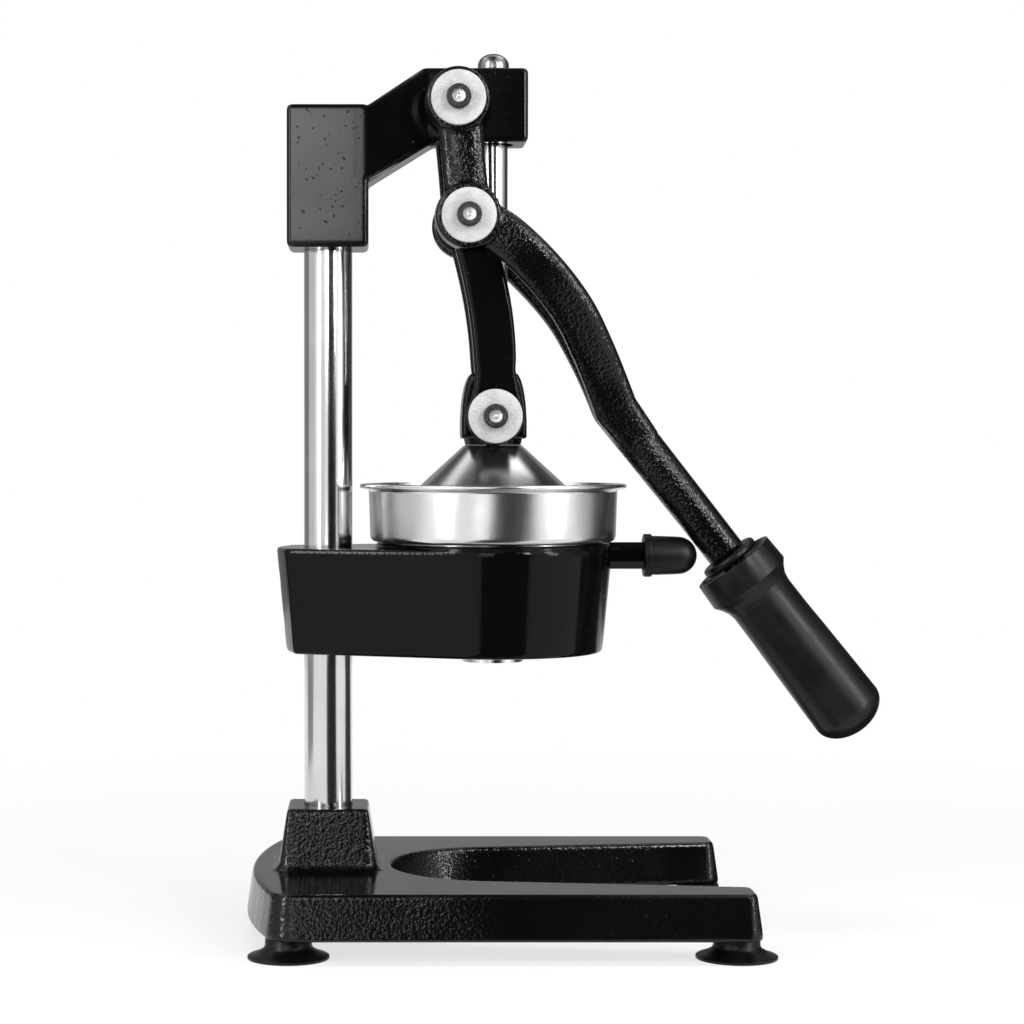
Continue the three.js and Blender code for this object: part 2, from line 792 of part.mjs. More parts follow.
// Cup in its own frame, with Z zero on the bowl's rim
function juiceCup() {
  const { sheet, drumTaper, rimBead, heelRadius, funnelDepth, funnelWallDepth } = cup;
  const { spoutRadius, spoutDrop, aboveBowl } = cup;
  const rimRadius = cupRimRadius;
  const stepRadius = cupStepRadius;
  const funnelWallRadius = stepRadius - cup.funnelShoulder;
  const heel = drumRadius - drumTaper;
  const beadFloor = aboveBowl - 2 * rimBead;
  const soft = heelRadius * (1 - Math.SQRT1_2);
  const outer = [
    [spoutRadius, -funnelDepth - carrier.floor - spoutDrop],
    [spoutRadius, -funnelDepth],
    [funnelWallRadius, -funnelWallDepth],
    [stepRadius, -sheet],
    [stepRadius, 0],
    [heel - heelRadius, 0],
    [heel - soft, soft],
    [heel, heelRadius],
    [drumRadius, beadFloor - sheet],
    [rimRadius - rimBead, beadFloor],
    [rimRadius, beadFloor + rimBead / 2],
    [rimRadius, aboveBowl - rimBead / 2],
    [rimRadius - rimBead, aboveBowl],
  ];
  const inner = [
    [drumRadius, aboveBowl - sheet],
    [drumRadius - sheet, beadFloor - sheet],
    [heel - sheet, heelRadius],
    [heel - sheet - soft, soft + sheet],
    [heel - heelRadius, sheet],
    [stepRadius - sheet, sheet],
    [stepRadius - sheet, -sheet],
    [funnelWallRadius - sheet, sheet - funnelWallDepth],
    [spoutRadius - sheet, sheet - funnelDepth],
    [spoutRadius - sheet, -funnelDepth - carrier.floor - spoutDrop],
  ];
  return turnedForm([...outer, ...inner, outer[0]], sides.large);
}

// Strainer in its own frame, with Z zero under its flat rim
function strainerDome() {
  const { sheet, height, slots, slotWidth, slotStart, slotEnd } = strainer;
  const rimRadius = strainerRadius;
  const shell = (radius, rise, low) =>
    domeRadiusShares.map((share, i) => [radius * share, low + rise * domeHeightShares[i]]);
  const outer = shell(strainerDomeRadius, height - sheet, sheet);
  const inner = shell(strainerDomeRadius - sheet, height - sheet, 0).reverse();
  const profile = [[rimRadius, 0], [rimRadius, sheet], ...outer, ...inner, [rimRadius, 0]];
  const body = turnedForm(profile, sides.large);
  const slotCutter = (k) =>
    solidOf(
      new THREE.BoxGeometry(slotEnd - slotStart, slotWidth, 2 * height)
        .translate((slotStart + slotEnd) / 2, 0, 0)
        .rotateZ((2 * Math.PI * k) / slots),
    );
  const holeRing = (rimRadius + strainerDomeRadius) / 2;
  const holeCutter = (k) => {
    const angle = (2 * Math.PI * (k + 1 / 2)) / strainer.holes;
    const place = new THREE.Vector3(holeRing * Math.cos(angle), holeRing * Math.sin(angle), 0);
    return bar(strainer.holeRadius, -fit.overrun, sheet + fit.overrun, sides.hexagon, place);
  };
  return without(
    body,
    ...Array.from({ length: slots }, (_, k) => slotCutter(k)),
    ...Array.from({ length: strainer.holes }, (_, k) => holeCutter(k)),
  );
}

// Press cone in its own frame, with Z zero on its flat top
function pressCone() {
  const { topRadius, wall, crown, skirtHeight } = cone;
  const drop = coneTop - strainerFloor - strainer.sheet - cone.skirtClearance;
  const shoulder = skirtHeight - drop;
  const wallAcross = wall * Math.SQRT2;
  const shell = turnedForm(
    [
      [0, 0],
      [topRadius, 0],
      [skirtRadius, shoulder],
      [skirtRadius, -drop],
      [skirtRadius - wall, -drop],
      [skirtRadius - wall, shoulder - wall / 2],
      [topRadius - wallAcross / 2, -crown],
      [0, -crown],
    ],
    sides.large,
  );
  return without(shell, bar(capScrew.radius + fit.gap, -skirtHeight, fit.overrun, sides.small));
}

// Ram block in its own frame, with Z zero on its underside
function ramBlock() {
  const narrowing = (block.width - block.topWidth) / 2;
  const flank = blockWidthShares.map((share, i) => [
    block.width / 2 - narrowing * share,
    block.height * blockHeightShares[i],
  ]);
  const otherFlank = flank.map(([x, z]) => [-x, z]).reverse();
  const outline = [...flank, ...otherFlank].map(([x, z]) => new THREE.Vector2(x, z));
  const body = standingPlate(outline, -block.halfDepth, block.halfDepth, block.bevel);
  const pinPlace = new THREE.Vector3(0, 0, block.pinHeight);
  const neck = bar(block.neckRadius, -block.neckHeight, block.bevel, sides.middle);
  return without(
    joined(body, neck),
    bar(pin.radius + fit.gap, -2 * block.halfDepth, 2 * block.halfDepth, sides.middle, pinPlace, acrossTo(1)),
    bar(guideRod.stud + fit.gap, block.height - guideRod.seat, block.height + fit.overrun, sides.small),
    bar(capScrew.radius + fit.gap, -block.neckHeight - fit.overrun, block.pinHeight, sides.small),
  );
}

// Guide rod: a stud in the block, the ground bar, and a stud for the cap, from Z zero on the block's top
const rodLength = headTop + fit.gap - (blockFloor + block.height);
function groundRod() {
  return turnedForm(
    [
      [0, -guideRod.seat + fit.gap],
      [guideRod.stud, -guideRod.seat + fit.gap],
      [guideRod.stud, fit.gap],
      [guide.rodRadius, fit.gap],
      [guide.rodRadius, rodLength],
      [guideRod.capBore, rodLength],
      [guideRod.capBore, rodLength + guideRod.stud],
      [0, rodLength + guideRod.stud],
    ],
    sides.middle,
  );
}

// Domed cap on the guide rod, which stops the ram on the head, with Z zero on its underside
function rodCap() {
  const { capRadius, capHeight, capDome, capBore, stud } = guideRod;
  const bore = capBore + fit.gap;
  const waist = capHeight - capDome;
  const dome = [1, 2].map((k) => {
    const angle = (k / 3) * (Math.PI / 2);
    return [capRadius * Math.cos(angle), waist + capDome * Math.sin(angle)];
  });
  return turnedForm(
    [
      [bore, 0],
      [capRadius, 0],
      [capRadius, waist],
      ...dome,
      [0, capHeight],
      [0, stud + fit.gap],
      [bore, stud + fit.gap],
      [bore, 0],
    ],
    sides.middle,
  );
}

// Bush of the guide rod, with Z zero on its lower face
function guideBush() {
  const inner = guide.rodRadius + fit.gap;
  const outer = inner + guide.bushWall;
  return turnedForm(
    [
      [inner, 0],
      [outer, 0],
      [outer, guide.bushLength],
      [inner, guide.bushLength],
      [inner, 0],
    ],
    sides.middle,
  );
}

// Curved link, from its inner face at Y zero outwards, with its lower eye at the origin
function curvedLink(side) {
  const [dx, dz] = [linkPin.x - ramPin.x, linkPin.z - ramPin.z];
  const chord = new THREE.Vector2(dx, dz);
  const across = new THREE.Vector2(dz, -dx).normalize();
  const steps = 6;
  const edge = (half) =>
    Array.from({ length: steps + 1 }, (_, k) => {
      const share = k / steps;
      const offset = link.bow * Math.sin(Math.PI * share) + half;
      return chord.clone().multiplyScalar(share).addScaledVector(across, offset);
    });
  const outline = [...edge(link.width / 2), ...edge(-link.width / 2).reverse()];
  const [low, high] = side > 0 ? [0, link.thickness] : [-link.thickness, 0];
  const web = standingPlate(outline, low, high, link.bevel);
  const eye = (x, z, radius) =>
    turnedForm(
      [
        [0, 0],
        [radius, 0],
        [radius, link.thickness - link.bevel],
        [radius - link.bevel, link.thickness],
        [0, link.thickness],
      ],
      sides.middle,
      new THREE.Vector3(x, 0, z),
      acrossTo(side),
    );
  const bore = (x, z) =>
    bar(
      pin.radius + fit.gap,
      -fit.overrun,
      link.thickness + fit.overrun,
      sides.middle,
      new THREE.Vector3(x, 0, z),
      acrossTo(side),
    );
  return without(joined(web, eye(0, 0, link.lowerEye), eye(dx, dz, link.upperEye)), bore(0, 0), bore(dx, dz));
}

// Pin between two distances along Z, tapped at the ends that carry a screw
function tappedPin(low, high, tapLow, tapHigh) {
  const body = bar(pin.radius, low, high, sides.middle);
  const tap = capScrew.radius + fit.gap;
  const lowTap = () => bar(tap, low - fit.overrun, low + pin.tapDepth, sides.small);
  const highTap = () => bar(tap, high - pin.tapDepth, high + fit.overrun, sides.small);
  return without(body, ...(tapLow ? [lowTap()] : []), ...(tapHigh ? [highTap()] : []));
}

// Yoke: two mirrored arms with their eyes, and the shaft, in world coordinates
function leverYoke() {
  const middle = (hubInner + hubOuter) / 2;
  const hub = (x, z, side, radius, flare) =>
    turnedForm(
      [
        [0, hubInner],
        [radius + flare, hubInner],
        [radius, hubOuter],
        [0, hubOuter],
      ],
      sides.middle,
      new THREE.Vector3(x, 0, z),
      acrossTo(side),
    );
  const bore = (x, z) =>
    bar(
      pin.radius + fit.gap,
      -hubOuter - fit.overrun,
      hubOuter + fit.overrun,
      sides.middle,
      new THREE.Vector3(x, 0, z),
      acrossTo(1),
    );
  const crankBar = (side) =>
    sweptBar(
      [0, 1 / 3, 2 / 3, 1].map((share) => ({
        point: new THREE.Vector3(
          THREE.MathUtils.lerp(pivot.x, linkPin.x, share),
          side * (hubInner + lever.crankHalfThickness),
          THREE.MathUtils.lerp(pivot.z, linkPin.z, share),
        ),
        halfWidth: lever.crankHalfWidth,
        halfThickness: lever.crankHalfThickness,
      })),
    );
  const arm = (side) =>
    sweptBar(
      armReachShares.map((share, i) => ({
        point: new THREE.Vector3(
          linkPin.x + lever.armReach * share,
          side * middle * armSpreadShares[i],
          linkPin.z - lever.armDrop * armDropShares[i],
        ),
        halfWidth: lever.armHalfWidth * armWidthShares[i],
        halfThickness: lever.armHalfThickness * armThicknessShares[i],
      })),
    );
  const kinkPoint = new THREE.Vector3(kink.x, 0, kink.z);
  const roundEnd = [1, 2].map((k) => {
    const angle = (k / 3) * (Math.PI / 2);
    return [lever.shaftRadius * Math.sin(angle), -lever.shaftRadius * Math.cos(angle)];
  });
  const shaft = turnedForm(
    [
      [0, -lever.shaftRadius],
      ...roundEnd,
      [lever.shaftRadius, 0],
      [lever.shaftRadius, lever.shaftLength],
      [lever.tangRadius, lever.shaftLength],
      [lever.tangRadius, lever.shaftLength + lever.tangLength],
      [0, lever.shaftLength + lever.tangLength],
    ],
    sides.middle,
    kinkPoint,
    shaftDirection,
  );
  const halves = [-1, 1].map((side) =>
    joined(
      hub(pivot.x, pivot.z, side, lever.upperHubRadius, lever.upperHubFlare),
      hub(linkPin.x, linkPin.z, side, lever.lowerHubRadius, lever.lowerHubFlare),
      crankBar(side),
      arm(side),
    ),
  );
  return without(joined(shaft, ...halves), bore(pivot.x, pivot.z), bore(linkPin.x, linkPin.z));
}

// Ring between the lever's shaft and the grip, along its own axis
function gripRing() {
  const { ringRadius, ringLength } = grip;
  const bore = lever.tangRadius + fit.gap;
  const soft = ringLength / 4;
  return turnedForm(
    [
      [bore, 0],
      [ringRadius - soft, 0],
      [ringRadius, soft],
      [ringRadius, ringLength - soft],
      [ringRadius - soft, ringLength],
      [bore, ringLength],
      [bore, 0],
    ],
    sides.middle,
  );
}

// Grip along its own axis: a flange, a waisted body and a domed end
function gripBody() {
  const { length, flangeRadius, flangeFlare, flangeLength } = grip;
  const { neckRadius, neckStart, bellyRadius, domeRadius, domeLength } = grip;
  const bore = lever.tangRadius + fit.gap;
  const depth = lever.tangLength - grip.ringLength;
  const shoulder = length - domeLength;
  const dome = [0, 1, 2, 3, 4].map((k) => {
    const angle = (k / 5) * (Math.PI / 2);
    return [domeRadius * Math.cos(angle), shoulder + domeLength * Math.sin(angle)];
  });
  return turnedForm(
    [
      [bore, 0],
      [flangeRadius - flangeFlare, 0],
      [flangeRadius, flangeLength],
      [(flangeRadius + neckRadius) / 2, (flangeLength + neckStart) / 2],
      [neckRadius, neckStart],
      [bellyRadius, shoulder / 2],
      [(bellyRadius + domeRadius) / 2, (3 * shoulder) / 4],
      ...dome,
      [0, length],
      [0, depth],
      [bore, depth],
      [bore, 0],
    ],
    sides.middle,
  );
}

// Head casting: the column block, the arm with its boss, the fairing between them and the pivot bosses
function headCasting() {
  const { blockHalfLength, blockHalfWidth, armHalfWidth, cornerRadius, edgeRadius } = head;
  const bossEnd = guide.reach + head.bossReach;
  const underArm = headTop - head.armRise - head.underArmDrop;
  const blockOutline = roundedOutline([
    [-blockHalfLength, headFloor, cornerRadius],
    [blockHalfLength, headFloor, cornerRadius],
    [blockHalfLength, blockTop, cornerRadius],
    [-blockHalfLength, blockTop, cornerRadius],
  ]);
  const armCorners = [
    [0, underArm],
    [blockHalfLength, underArm],
    [head.underArmEnd, bossFloor],
    [bossEnd, bossFloor],
    [bossEnd, headTop],
    [head.armTopStart, headTop],
    [blockHalfLength, blockTop],
    [0, blockTop],
  ];
  const armRadii = [0, 0, cornerRadius, cornerRadius, cornerRadius, cornerRadius, 0, 0];
  const armOutline = roundedOutline(armCorners.map(([x, z], i) => [x, z, armRadii[i]]));
  const blockSolid = standingPlate(blockOutline, -blockHalfWidth, blockHalfWidth, edgeRadius);
  const arm = standingPlate(armOutline, -armHalfWidth, armHalfWidth, edgeRadius);
  const fairingPlan = [
    [0, -blockHalfWidth + edgeRadius],
    [blockHalfLength, -blockHalfWidth + edgeRadius],
    [head.fairingEnd, -armHalfWidth + edgeRadius],
    [head.fairingEnd, armHalfWidth - edgeRadius],
    [blockHalfLength, blockHalfWidth - edgeRadius],
    [0, blockHalfWidth - edgeRadius],
  ].map(([x, y]) => new THREE.Vector2(x, y));
  const wideArm = standingPlate(armOutline, -blockHalfWidth, blockHalfWidth, edgeRadius);
  const fairing = wideArm.intersect(
    solidOf(
      plate(fairingPlan, [
        [headFloor, 0],
        [headTop + fit.overrun, 0],
      ]),
    ),
  );
  const pivotPlace = new THREE.Vector3(pivot.x, 0, pivot.z);
  const bossFace = hubInner - fit.gap;
  const pivotBoss = bar(head.pivotBossRadius, -bossFace, bossFace, sides.middle, pivotPlace, acrossTo(1));
  const guidePlace = new THREE.Vector3(guide.reach, 0, 0);
  const bushBore = guide.rodRadius + guide.bushWall + 2 * fit.gap;
  const screwHoles = [-1, 1].map((side) =>
    bar(
      grub.radius + fit.gap,
      0,
      blockHalfLength + fit.overrun,
      sides.small,
      new THREE.Vector3(0, 0, headFloor + (head.blockHeight - head.columnRoof + side * grub.spread) / 2),
      new THREE.Vector3(-1, 0, 0),
    ),
  );
  return without(
    joined(blockSolid, arm, fairing, pivotBoss),
    bar(column.radius + fit.gap, headFloor - fit.overrun, columnTop + fit.gap, sides.middle),
    bar(bushBore, bossFloor - fit.overrun, headTop + fit.overrun, sides.middle, guidePlace),
    bar(pin.radius + fit.gap, -hubOuter, hubOuter, sides.middle, pivotPlace, acrossTo(1)),
    ...screwHoles,
  );
}

// A group of pieces at a place
function groupAt(x, y, z, ...members) {
  const group = new THREE.Group();
  group.position.set(x, y, z);
  members.forEach((member) => group.add(member));
  return group;
}

// The washer and screw that close one end of a pin: face is the Y of the pin's end
function pinEnd(prefix, side, place, face) {
  const name = side < 0 ? "near" : "far";
  const closing = new THREE.Group();
  const disc = piece(prefix + "_washer_" + name, bigWasher(), materials.washer);
  disc.position.z = fit.gap;
  const screw = piece(prefix + "_screw_" + name, socketScrew(), materials.screw);
  screw.position.z = washer.thickness + 2 * fit.gap;
  closing.add(disc, screw);
  closing.position.set(place.x, side * face, place.z);
  closing.rotation.x = (-side * Math.PI) / 2;
  return closing;
}

// Frame: all that stands still
const frame = new THREE.Group();
frame.add(piece("base_casting", baseCasting(), materials.paint));
frame.add(piece("column", columnBar(), materials.chrome));
frame.add(piece("head_casting", headCasting(), materials.paint));
frame.add(piece("bowl_carrier", carrierCasting(), materials.paint));
frame.add(piece("stop_cap", stopCap(), materials.rubber));

const boltSeat = foot.height + columnBolt.recessDepth - fit.gap - columnBolt.washerThickness;
frame.add(
  groupAt(0, 0, boltSeat, piece("column_washer", plainWasher(), materials.steel)),
  groupAt(0, 0, boltSeat - fit.gap, piece("column_bolt", hexBolt(), materials.steel)),
);

footPlaces.forEach(([name, x, side]) => {
  const underHead = foot.height - fit.gap - foot.roof - fit.gap;
  const screw = piece("foot_screw_" + name, studScrew(), materials.steel);
  screw.position.z = underHead;
  const cushion = piece("suction_foot_" + name, suctionFoot(), materials.rubber);
  frame.add(groupAt(x, side * footSide, 0, cushion, screw));
});

// Grub screws in the back of the head and of the carrier, which press on the column
[
  ["head_grub", head.blockHalfLength, headFloor + (head.blockHeight - head.columnRoof) / 2, grub.spread],
  ["carrier_grub", carrier.rearReach - carrier.draft, carrierFloor + carrier.height / 2, grub.carrierSpread],
].forEach(([prefix, reach, height, spread]) => {
  [
    ["lower", -1],
    ["upper", 1],
  ].forEach(([name, side]) => {
    const face = reach - grub.sunk;
    const length = face - column.radius - fit.gap;
    const screw = piece(prefix + "_" + name, grubScrew(length), materials.screw);
    screw.rotation.y = -Math.PI / 2;
    frame.add(groupAt(-face, 0, height + (side * spread) / 2, screw));
  });
});

const bushes = groupAt(guide.reach, 0, 0);
[
  ["guide_bush_lower", bossFloor + fit.gap],
  ["guide_bush_upper", headTop - guide.bushLength - 2 * fit.gap],
].forEach(([name, height]) => {
  const bush = piece(name, guideBush(), materials.bronze);
  bush.position.z = height;
  bushes.add(bush);
});
frame.add(bushes);

frame.add(
  groupAt(guide.reach, 0, cupStep, piece("juice_cup", juiceCup(), materials.steel)),
  groupAt(guide.reach, 0, strainerFloor - cup.heelRadius, piece("strainer", strainerDome(), materials.steel)),
);

const headShaft = piece("head_pivot_shaft", tappedPin(-hubOuter, hubOuter, true, true), materials.steel);
headShaft.rotation.x = -Math.PI / 2;
frame.add(groupAt(pivot.x, 0, pivot.z, headShaft));
[-1, 1].forEach((side) => frame.add(pinEnd("head_pivot", side, pivot, hubOuter)));

// Ram: slides up and down along the guide axis
const ram = groupAt(guide.reach, 0, 0);
const onRam = (name, solid, material, height) => {
  const member = piece(name, solid, material);
  member.position.z = height;
  ram.add(member);
  return member;
};
onRam("press_cone", pressCone(), materials.steel, coneTop);
onRam("ram_block", ramBlock(), materials.paint, blockFloor);
onRam("guide_rod", groundRod(), materials.chrome, blockFloor + block.height);
onRam("guide_rod_cap", rodCap(), materials.chrome, headTop + 2 * fit.gap);
const coneScrew = onRam("cone_screw", socketScrew(), materials.screw, coneTop - cone.crown - fit.gap);
coneScrew.rotation.x = Math.PI;
const ramPinFace = linkInner + link.thickness;
const crossPin = onRam("ram_pin", tappedPin(-ramPinFace, ramPinFace, true, true), materials.steel, ramPin.z);
crossPin.rotation.x = -Math.PI / 2;
[-1, 1].forEach((side) => ram.add(pinEnd("ram_pin", side, { x: 0, z: ramPin.z }, ramPinFace)));

// Links: turn on the ram's cross pin
const links = new THREE.Group();
[
  ["near", -1],
  ["far", 1],
].forEach(([name, side]) => {
  const member = piece("link_" + name, curvedLink(side), materials.paint);
  const stub = piece("link_stub_" + name, bar(pin.radius, 0, link.thickness, sides.middle), materials.steel);
  stub.position.set(linkPin.x - ramPin.x, 0, linkPin.z - ramPin.z);
  stub.rotation.x = (-side * Math.PI) / 2;
  links.add(groupAt(ramPin.x, side * linkInner, ramPin.z, member, stub));
});

// Lever: turns on the head's pivot shaft
const leverGroup = new THREE.Group();
leverGroup.add(piece("lever_yoke", leverYoke(), materials.paint));
[
  ["near", -1],
  ["far", 1],
].forEach(([name, side]) => {
  const yokePin = piece("yoke_pin_" + name, tappedPin(hubInner, hubOuter, false, true), materials.steel);
  yokePin.rotation.x = (-side * Math.PI) / 2;
  leverGroup.add(groupAt(linkPin.x, 0, linkPin.z, yokePin), pinEnd("yoke_pin", side, linkPin, hubOuter));
});
const handle = new THREE.Group();
const ring = piece("grip_ring", gripRing(), materials.rubber);
ring.position.z = fit.gap;
const gripMesh = piece("grip", gripBody(), materials.plastic);
gripMesh.position.z = grip.ringLength + 2 * fit.gap;
handle.add(ring, gripMesh);
handle.position.copy(shaftEnd);
handle.quaternion.setFromUnitVectors(upward, shaftDirection);
leverGroup.add(handle);

// The whole press, with its origin on the floor under the middle of its length
const press = new THREE.Group();
press.add(frame, ram, links, leverGroup);
const extent = new THREE.Box3().setFromObject(press, true);
press.position.x = -(extent.min.x + extent.max.x) / 2;
const root = new THREE.Group();
root.add(press);

export default root;
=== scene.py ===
"""Dressed model of a lever citrus juice press.

Sizes are in millimetres from the column's axis at floor level: X towards the open end of the base,
Y away from the camera, Z up. They are turned into metres in the frame's own place when a mesh is made.
"""

import sys
import logging
import math
from dataclasses import dataclass
from enum import Enum
from typing import Iterable, Sequence

import bmesh
import bpy
from mathutils import Euler, Matrix, Vector


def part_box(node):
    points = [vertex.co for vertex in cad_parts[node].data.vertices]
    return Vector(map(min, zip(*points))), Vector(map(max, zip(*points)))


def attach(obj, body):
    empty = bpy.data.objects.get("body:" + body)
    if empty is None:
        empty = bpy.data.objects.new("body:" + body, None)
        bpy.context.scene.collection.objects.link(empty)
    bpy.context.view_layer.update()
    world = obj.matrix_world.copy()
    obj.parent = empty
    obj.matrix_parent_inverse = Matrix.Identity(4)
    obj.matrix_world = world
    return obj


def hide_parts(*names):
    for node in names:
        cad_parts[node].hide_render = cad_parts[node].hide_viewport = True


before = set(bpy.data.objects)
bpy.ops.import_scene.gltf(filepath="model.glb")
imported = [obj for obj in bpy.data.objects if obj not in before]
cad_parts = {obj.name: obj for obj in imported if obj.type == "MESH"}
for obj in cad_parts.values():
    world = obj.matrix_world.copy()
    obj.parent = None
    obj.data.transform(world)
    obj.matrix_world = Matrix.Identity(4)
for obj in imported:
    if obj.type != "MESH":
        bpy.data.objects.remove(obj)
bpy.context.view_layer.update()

LOG = logging.getLogger("press")
Point2 = tuple[float, float]
Colour = tuple[float, float, float]
Span = tuple[float, float, float]
Socket = bpy.types.NodeSocket
UP = Vector((0, 0, 1))
PER_METRE = 1000
COLUMN_X = (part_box("column")[0].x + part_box("column")[1].x) / 2
TO_ROW = Matrix.Translation((COLUMN_X, 0, 0)) @ Matrix.Scale(1 / PER_METRE, 4)
GUIDE_X = 76.5
GUIDE_ROW_X = COLUMN_X + GUIDE_X / PER_METRE
GUIDE_FOOT = (GUIDE_X, 0, 0)
HEAD_PIVOT = (59.2, 381.6)
LINK_PIN = (64.0, 329.0)
RAM_PIN = (GUIDE_X, 238.8)
COLUMN_BORE = 11.5
PIN_BORE = 6.3
GRUB_HOLE = 4.3
HIDDEN_STEEL = "pin_steel"


class Body(Enum):
    """The bodies that pieces ride on."""

    FRAME = "frame"
    RAM = "ram"
    LINKS = "links"
    LEVER = "lever"


class Side(Enum):
    """The two sides of the press, by the sign of Y."""

    NEAR = -1
    FAR = 1

    @property
    def word(self) -> str:
        """The side's word in the names of pieces."""
        return self.name.lower()

    @property
    def outward(self) -> Vector:
        """The direction out of the press on this side."""
        return Vector((0, self.value, 0))


class Slot(Enum):
    """The material slots of the record."""

    CASTING = "black_casting"
    POLISHED = "polished_steel"
    BRUSHED = "brushed_steel"
    ALUMINIUM = "satin_aluminium"
    WASHER = "matte_washer_steel"
    SCREW = "dark_screw_steel"
    BRONZE = "bronze"
    RUBBER = "black_rubber"
    PLASTIC = "black_plastic"


# Materials


class NodeBench:
    """Adds shader nodes to one material and wires them."""

    def __init__(self, name: str) -> None:
        """Starts an empty node material.

        Args:
            name: the material's name.
        """
        self.material = bpy.data.materials.new(name)
        self.material.use_nodes = True
        self.tree = self.material.node_tree
        self.shader = self.tree.nodes["Principled BSDF"]
        self.place = self.tree.nodes.new("ShaderNodeTexCoord").outputs["Object"]

    def node(self, kind: str, settings: dict | None = None, inputs: dict | None = None) -> bpy.types.Node:
        """Adds a node.

        Args:
            kind: the node's type.
            settings: attributes to set on it.
            inputs: a value or an output socket for each named or numbered input.

        Returns:
            The new node.
        """
        made = self.tree.nodes.new(kind)
        for key, value in (settings or {}).items():
            setattr(made, key, value)
        for key, value in (inputs or {}).items():
            if isinstance(value, Socket):
                self.tree.links.new(value, made.inputs[key])
            else:
                made.inputs[key].default_value = value
        return made

    def noise(self, scale: float, detail: float, vector: Socket | None = None) -> Socket:
        """A noise texture.

        Args:
            scale: grains per metre.
            detail: octaves of finer noise.
            vector: where to sample it, or None for the object's own place.

        Returns:
            The noise's value.
        """
        return self.node(
            "ShaderNodeTexNoise",
            inputs={"Vector": vector or self.place, "Scale": scale, "Detail": detail},
        ).outputs["Fac"]

    def spread(self, value: Socket, low: float, high: float, to_low: float, to_high: float) -> Socket:
        """Maps a value from one range to another, smoothly and clamped.

        Args:
            value: the value to map.
            low: its low end.
            high: its high end.
            to_low: what the low end becomes.
            to_high: what the high end becomes.

        Returns:
            The mapped value.
        """
        return self.node(
            "ShaderNodeMapRange",
            {"interpolation_type": "SMOOTHSTEP"},
            {"Value": value, "From Min": low, "From Max": high, "To Min": to_low, "To Max": to_high},
        ).outputs["Result"]

    def tint(self, factor: Socket, first: Colour, second: Colour) -> None:
        """Gives the shader a base colour between two, by a factor.

        Args:
            factor: where between them.
            first: colour at nought.
            second: colour at one.
        """
        mix = self.node("ShaderNodeMix", {"data_type": "RGBA"}, {0: factor})
        mix.inputs[6].default_value = (*first, 1)
        mix.inputs[7].default_value = (*second, 1)
        self.tree.links.new(mix.outputs[2], self.shader.inputs["Base Color"])

    def vary(self, name: str, factor: Socket, span: Point2, first: float, second: float) -> None:
        """Gives one of the shader's values a smooth change between two, by a factor.

        Args:
            name: the shader's input.
            factor: where between them.
            span: the factor's values at which the change starts and ends.
            first: the value before it.
            second: the value after it.
        """
        self.tree.links.new(self.spread(factor, *span, first, second), self.shader.inputs[name])

    def product(self, first: Socket, second: Socket | float) -> Socket:
        """Two values multiplied."""
        return self.node("ShaderNodeMath", {"operation": "MULTIPLY"}, {0: first, 1: second}).outputs[0]

    def bump(
        self,
        layers: Iterable[tuple[Socket, float]],
        strength: Socket | float = 1.0,
    ) -> None:
        """Gives the shader a stack of bump layers.

        Args:
            layers: a height and its depth in metres, coarse ones first.
            strength: how much of them shows, the same or from place to place.
        """
        below = None
        for height, depth in layers:
            heights = {"Height": height, "Distance": depth, "Strength": strength}
            made = self.node("ShaderNodeBump", inputs=heights)
            if below:
                self.tree.links.new(below, made.inputs["Normal"])
            below = made.outputs["Normal"]
        self.tree.links.new(below, self.shader.inputs["Normal"])

    def around(self, axis_x: float, along: float, round_about: float) -> Socket:
        """Coordinates that run round an upright axis, for turned and brushed surfaces.

        Args:
            axis_x: the axis's X, in metres.
            along: stretch along the axis and the radius.
            round_about: stretch round the axis.

        Returns:
            A vector for a texture.
        """
        parts = self.node("ShaderNodeSeparateXYZ", inputs={0: self.place}).outputs
        across = self.node("ShaderNodeMath", {"operation": "SUBTRACT"}, {0: parts["X"], 1: axis_x}).outputs[0]
        angle = self.node("ShaderNodeMath", {"operation": "ARCTAN2"}, {0: parts["Y"], 1: across}).outputs[0]
        flat = self.node("ShaderNodeCombineXYZ", inputs={0: across, 1: parts["Y"]}).outputs[0]
        radius = self.node("ShaderNodeVectorMath", {"operation": "LENGTH"}, {0: flat}).outputs["Value"]
        turn = self.product(angle, round_about)
        deep, high = self.product(radius, along), self.product(parts["Z"], along)
        return self.node("ShaderNodeCombineXYZ", inputs={0: turn, 1: deep, 2: high}).outputs[0]


# The stretches of a noise's value over which a finish changes
MIDDLE = (0.4, 0.6)
BROAD = (0.3, 0.7)


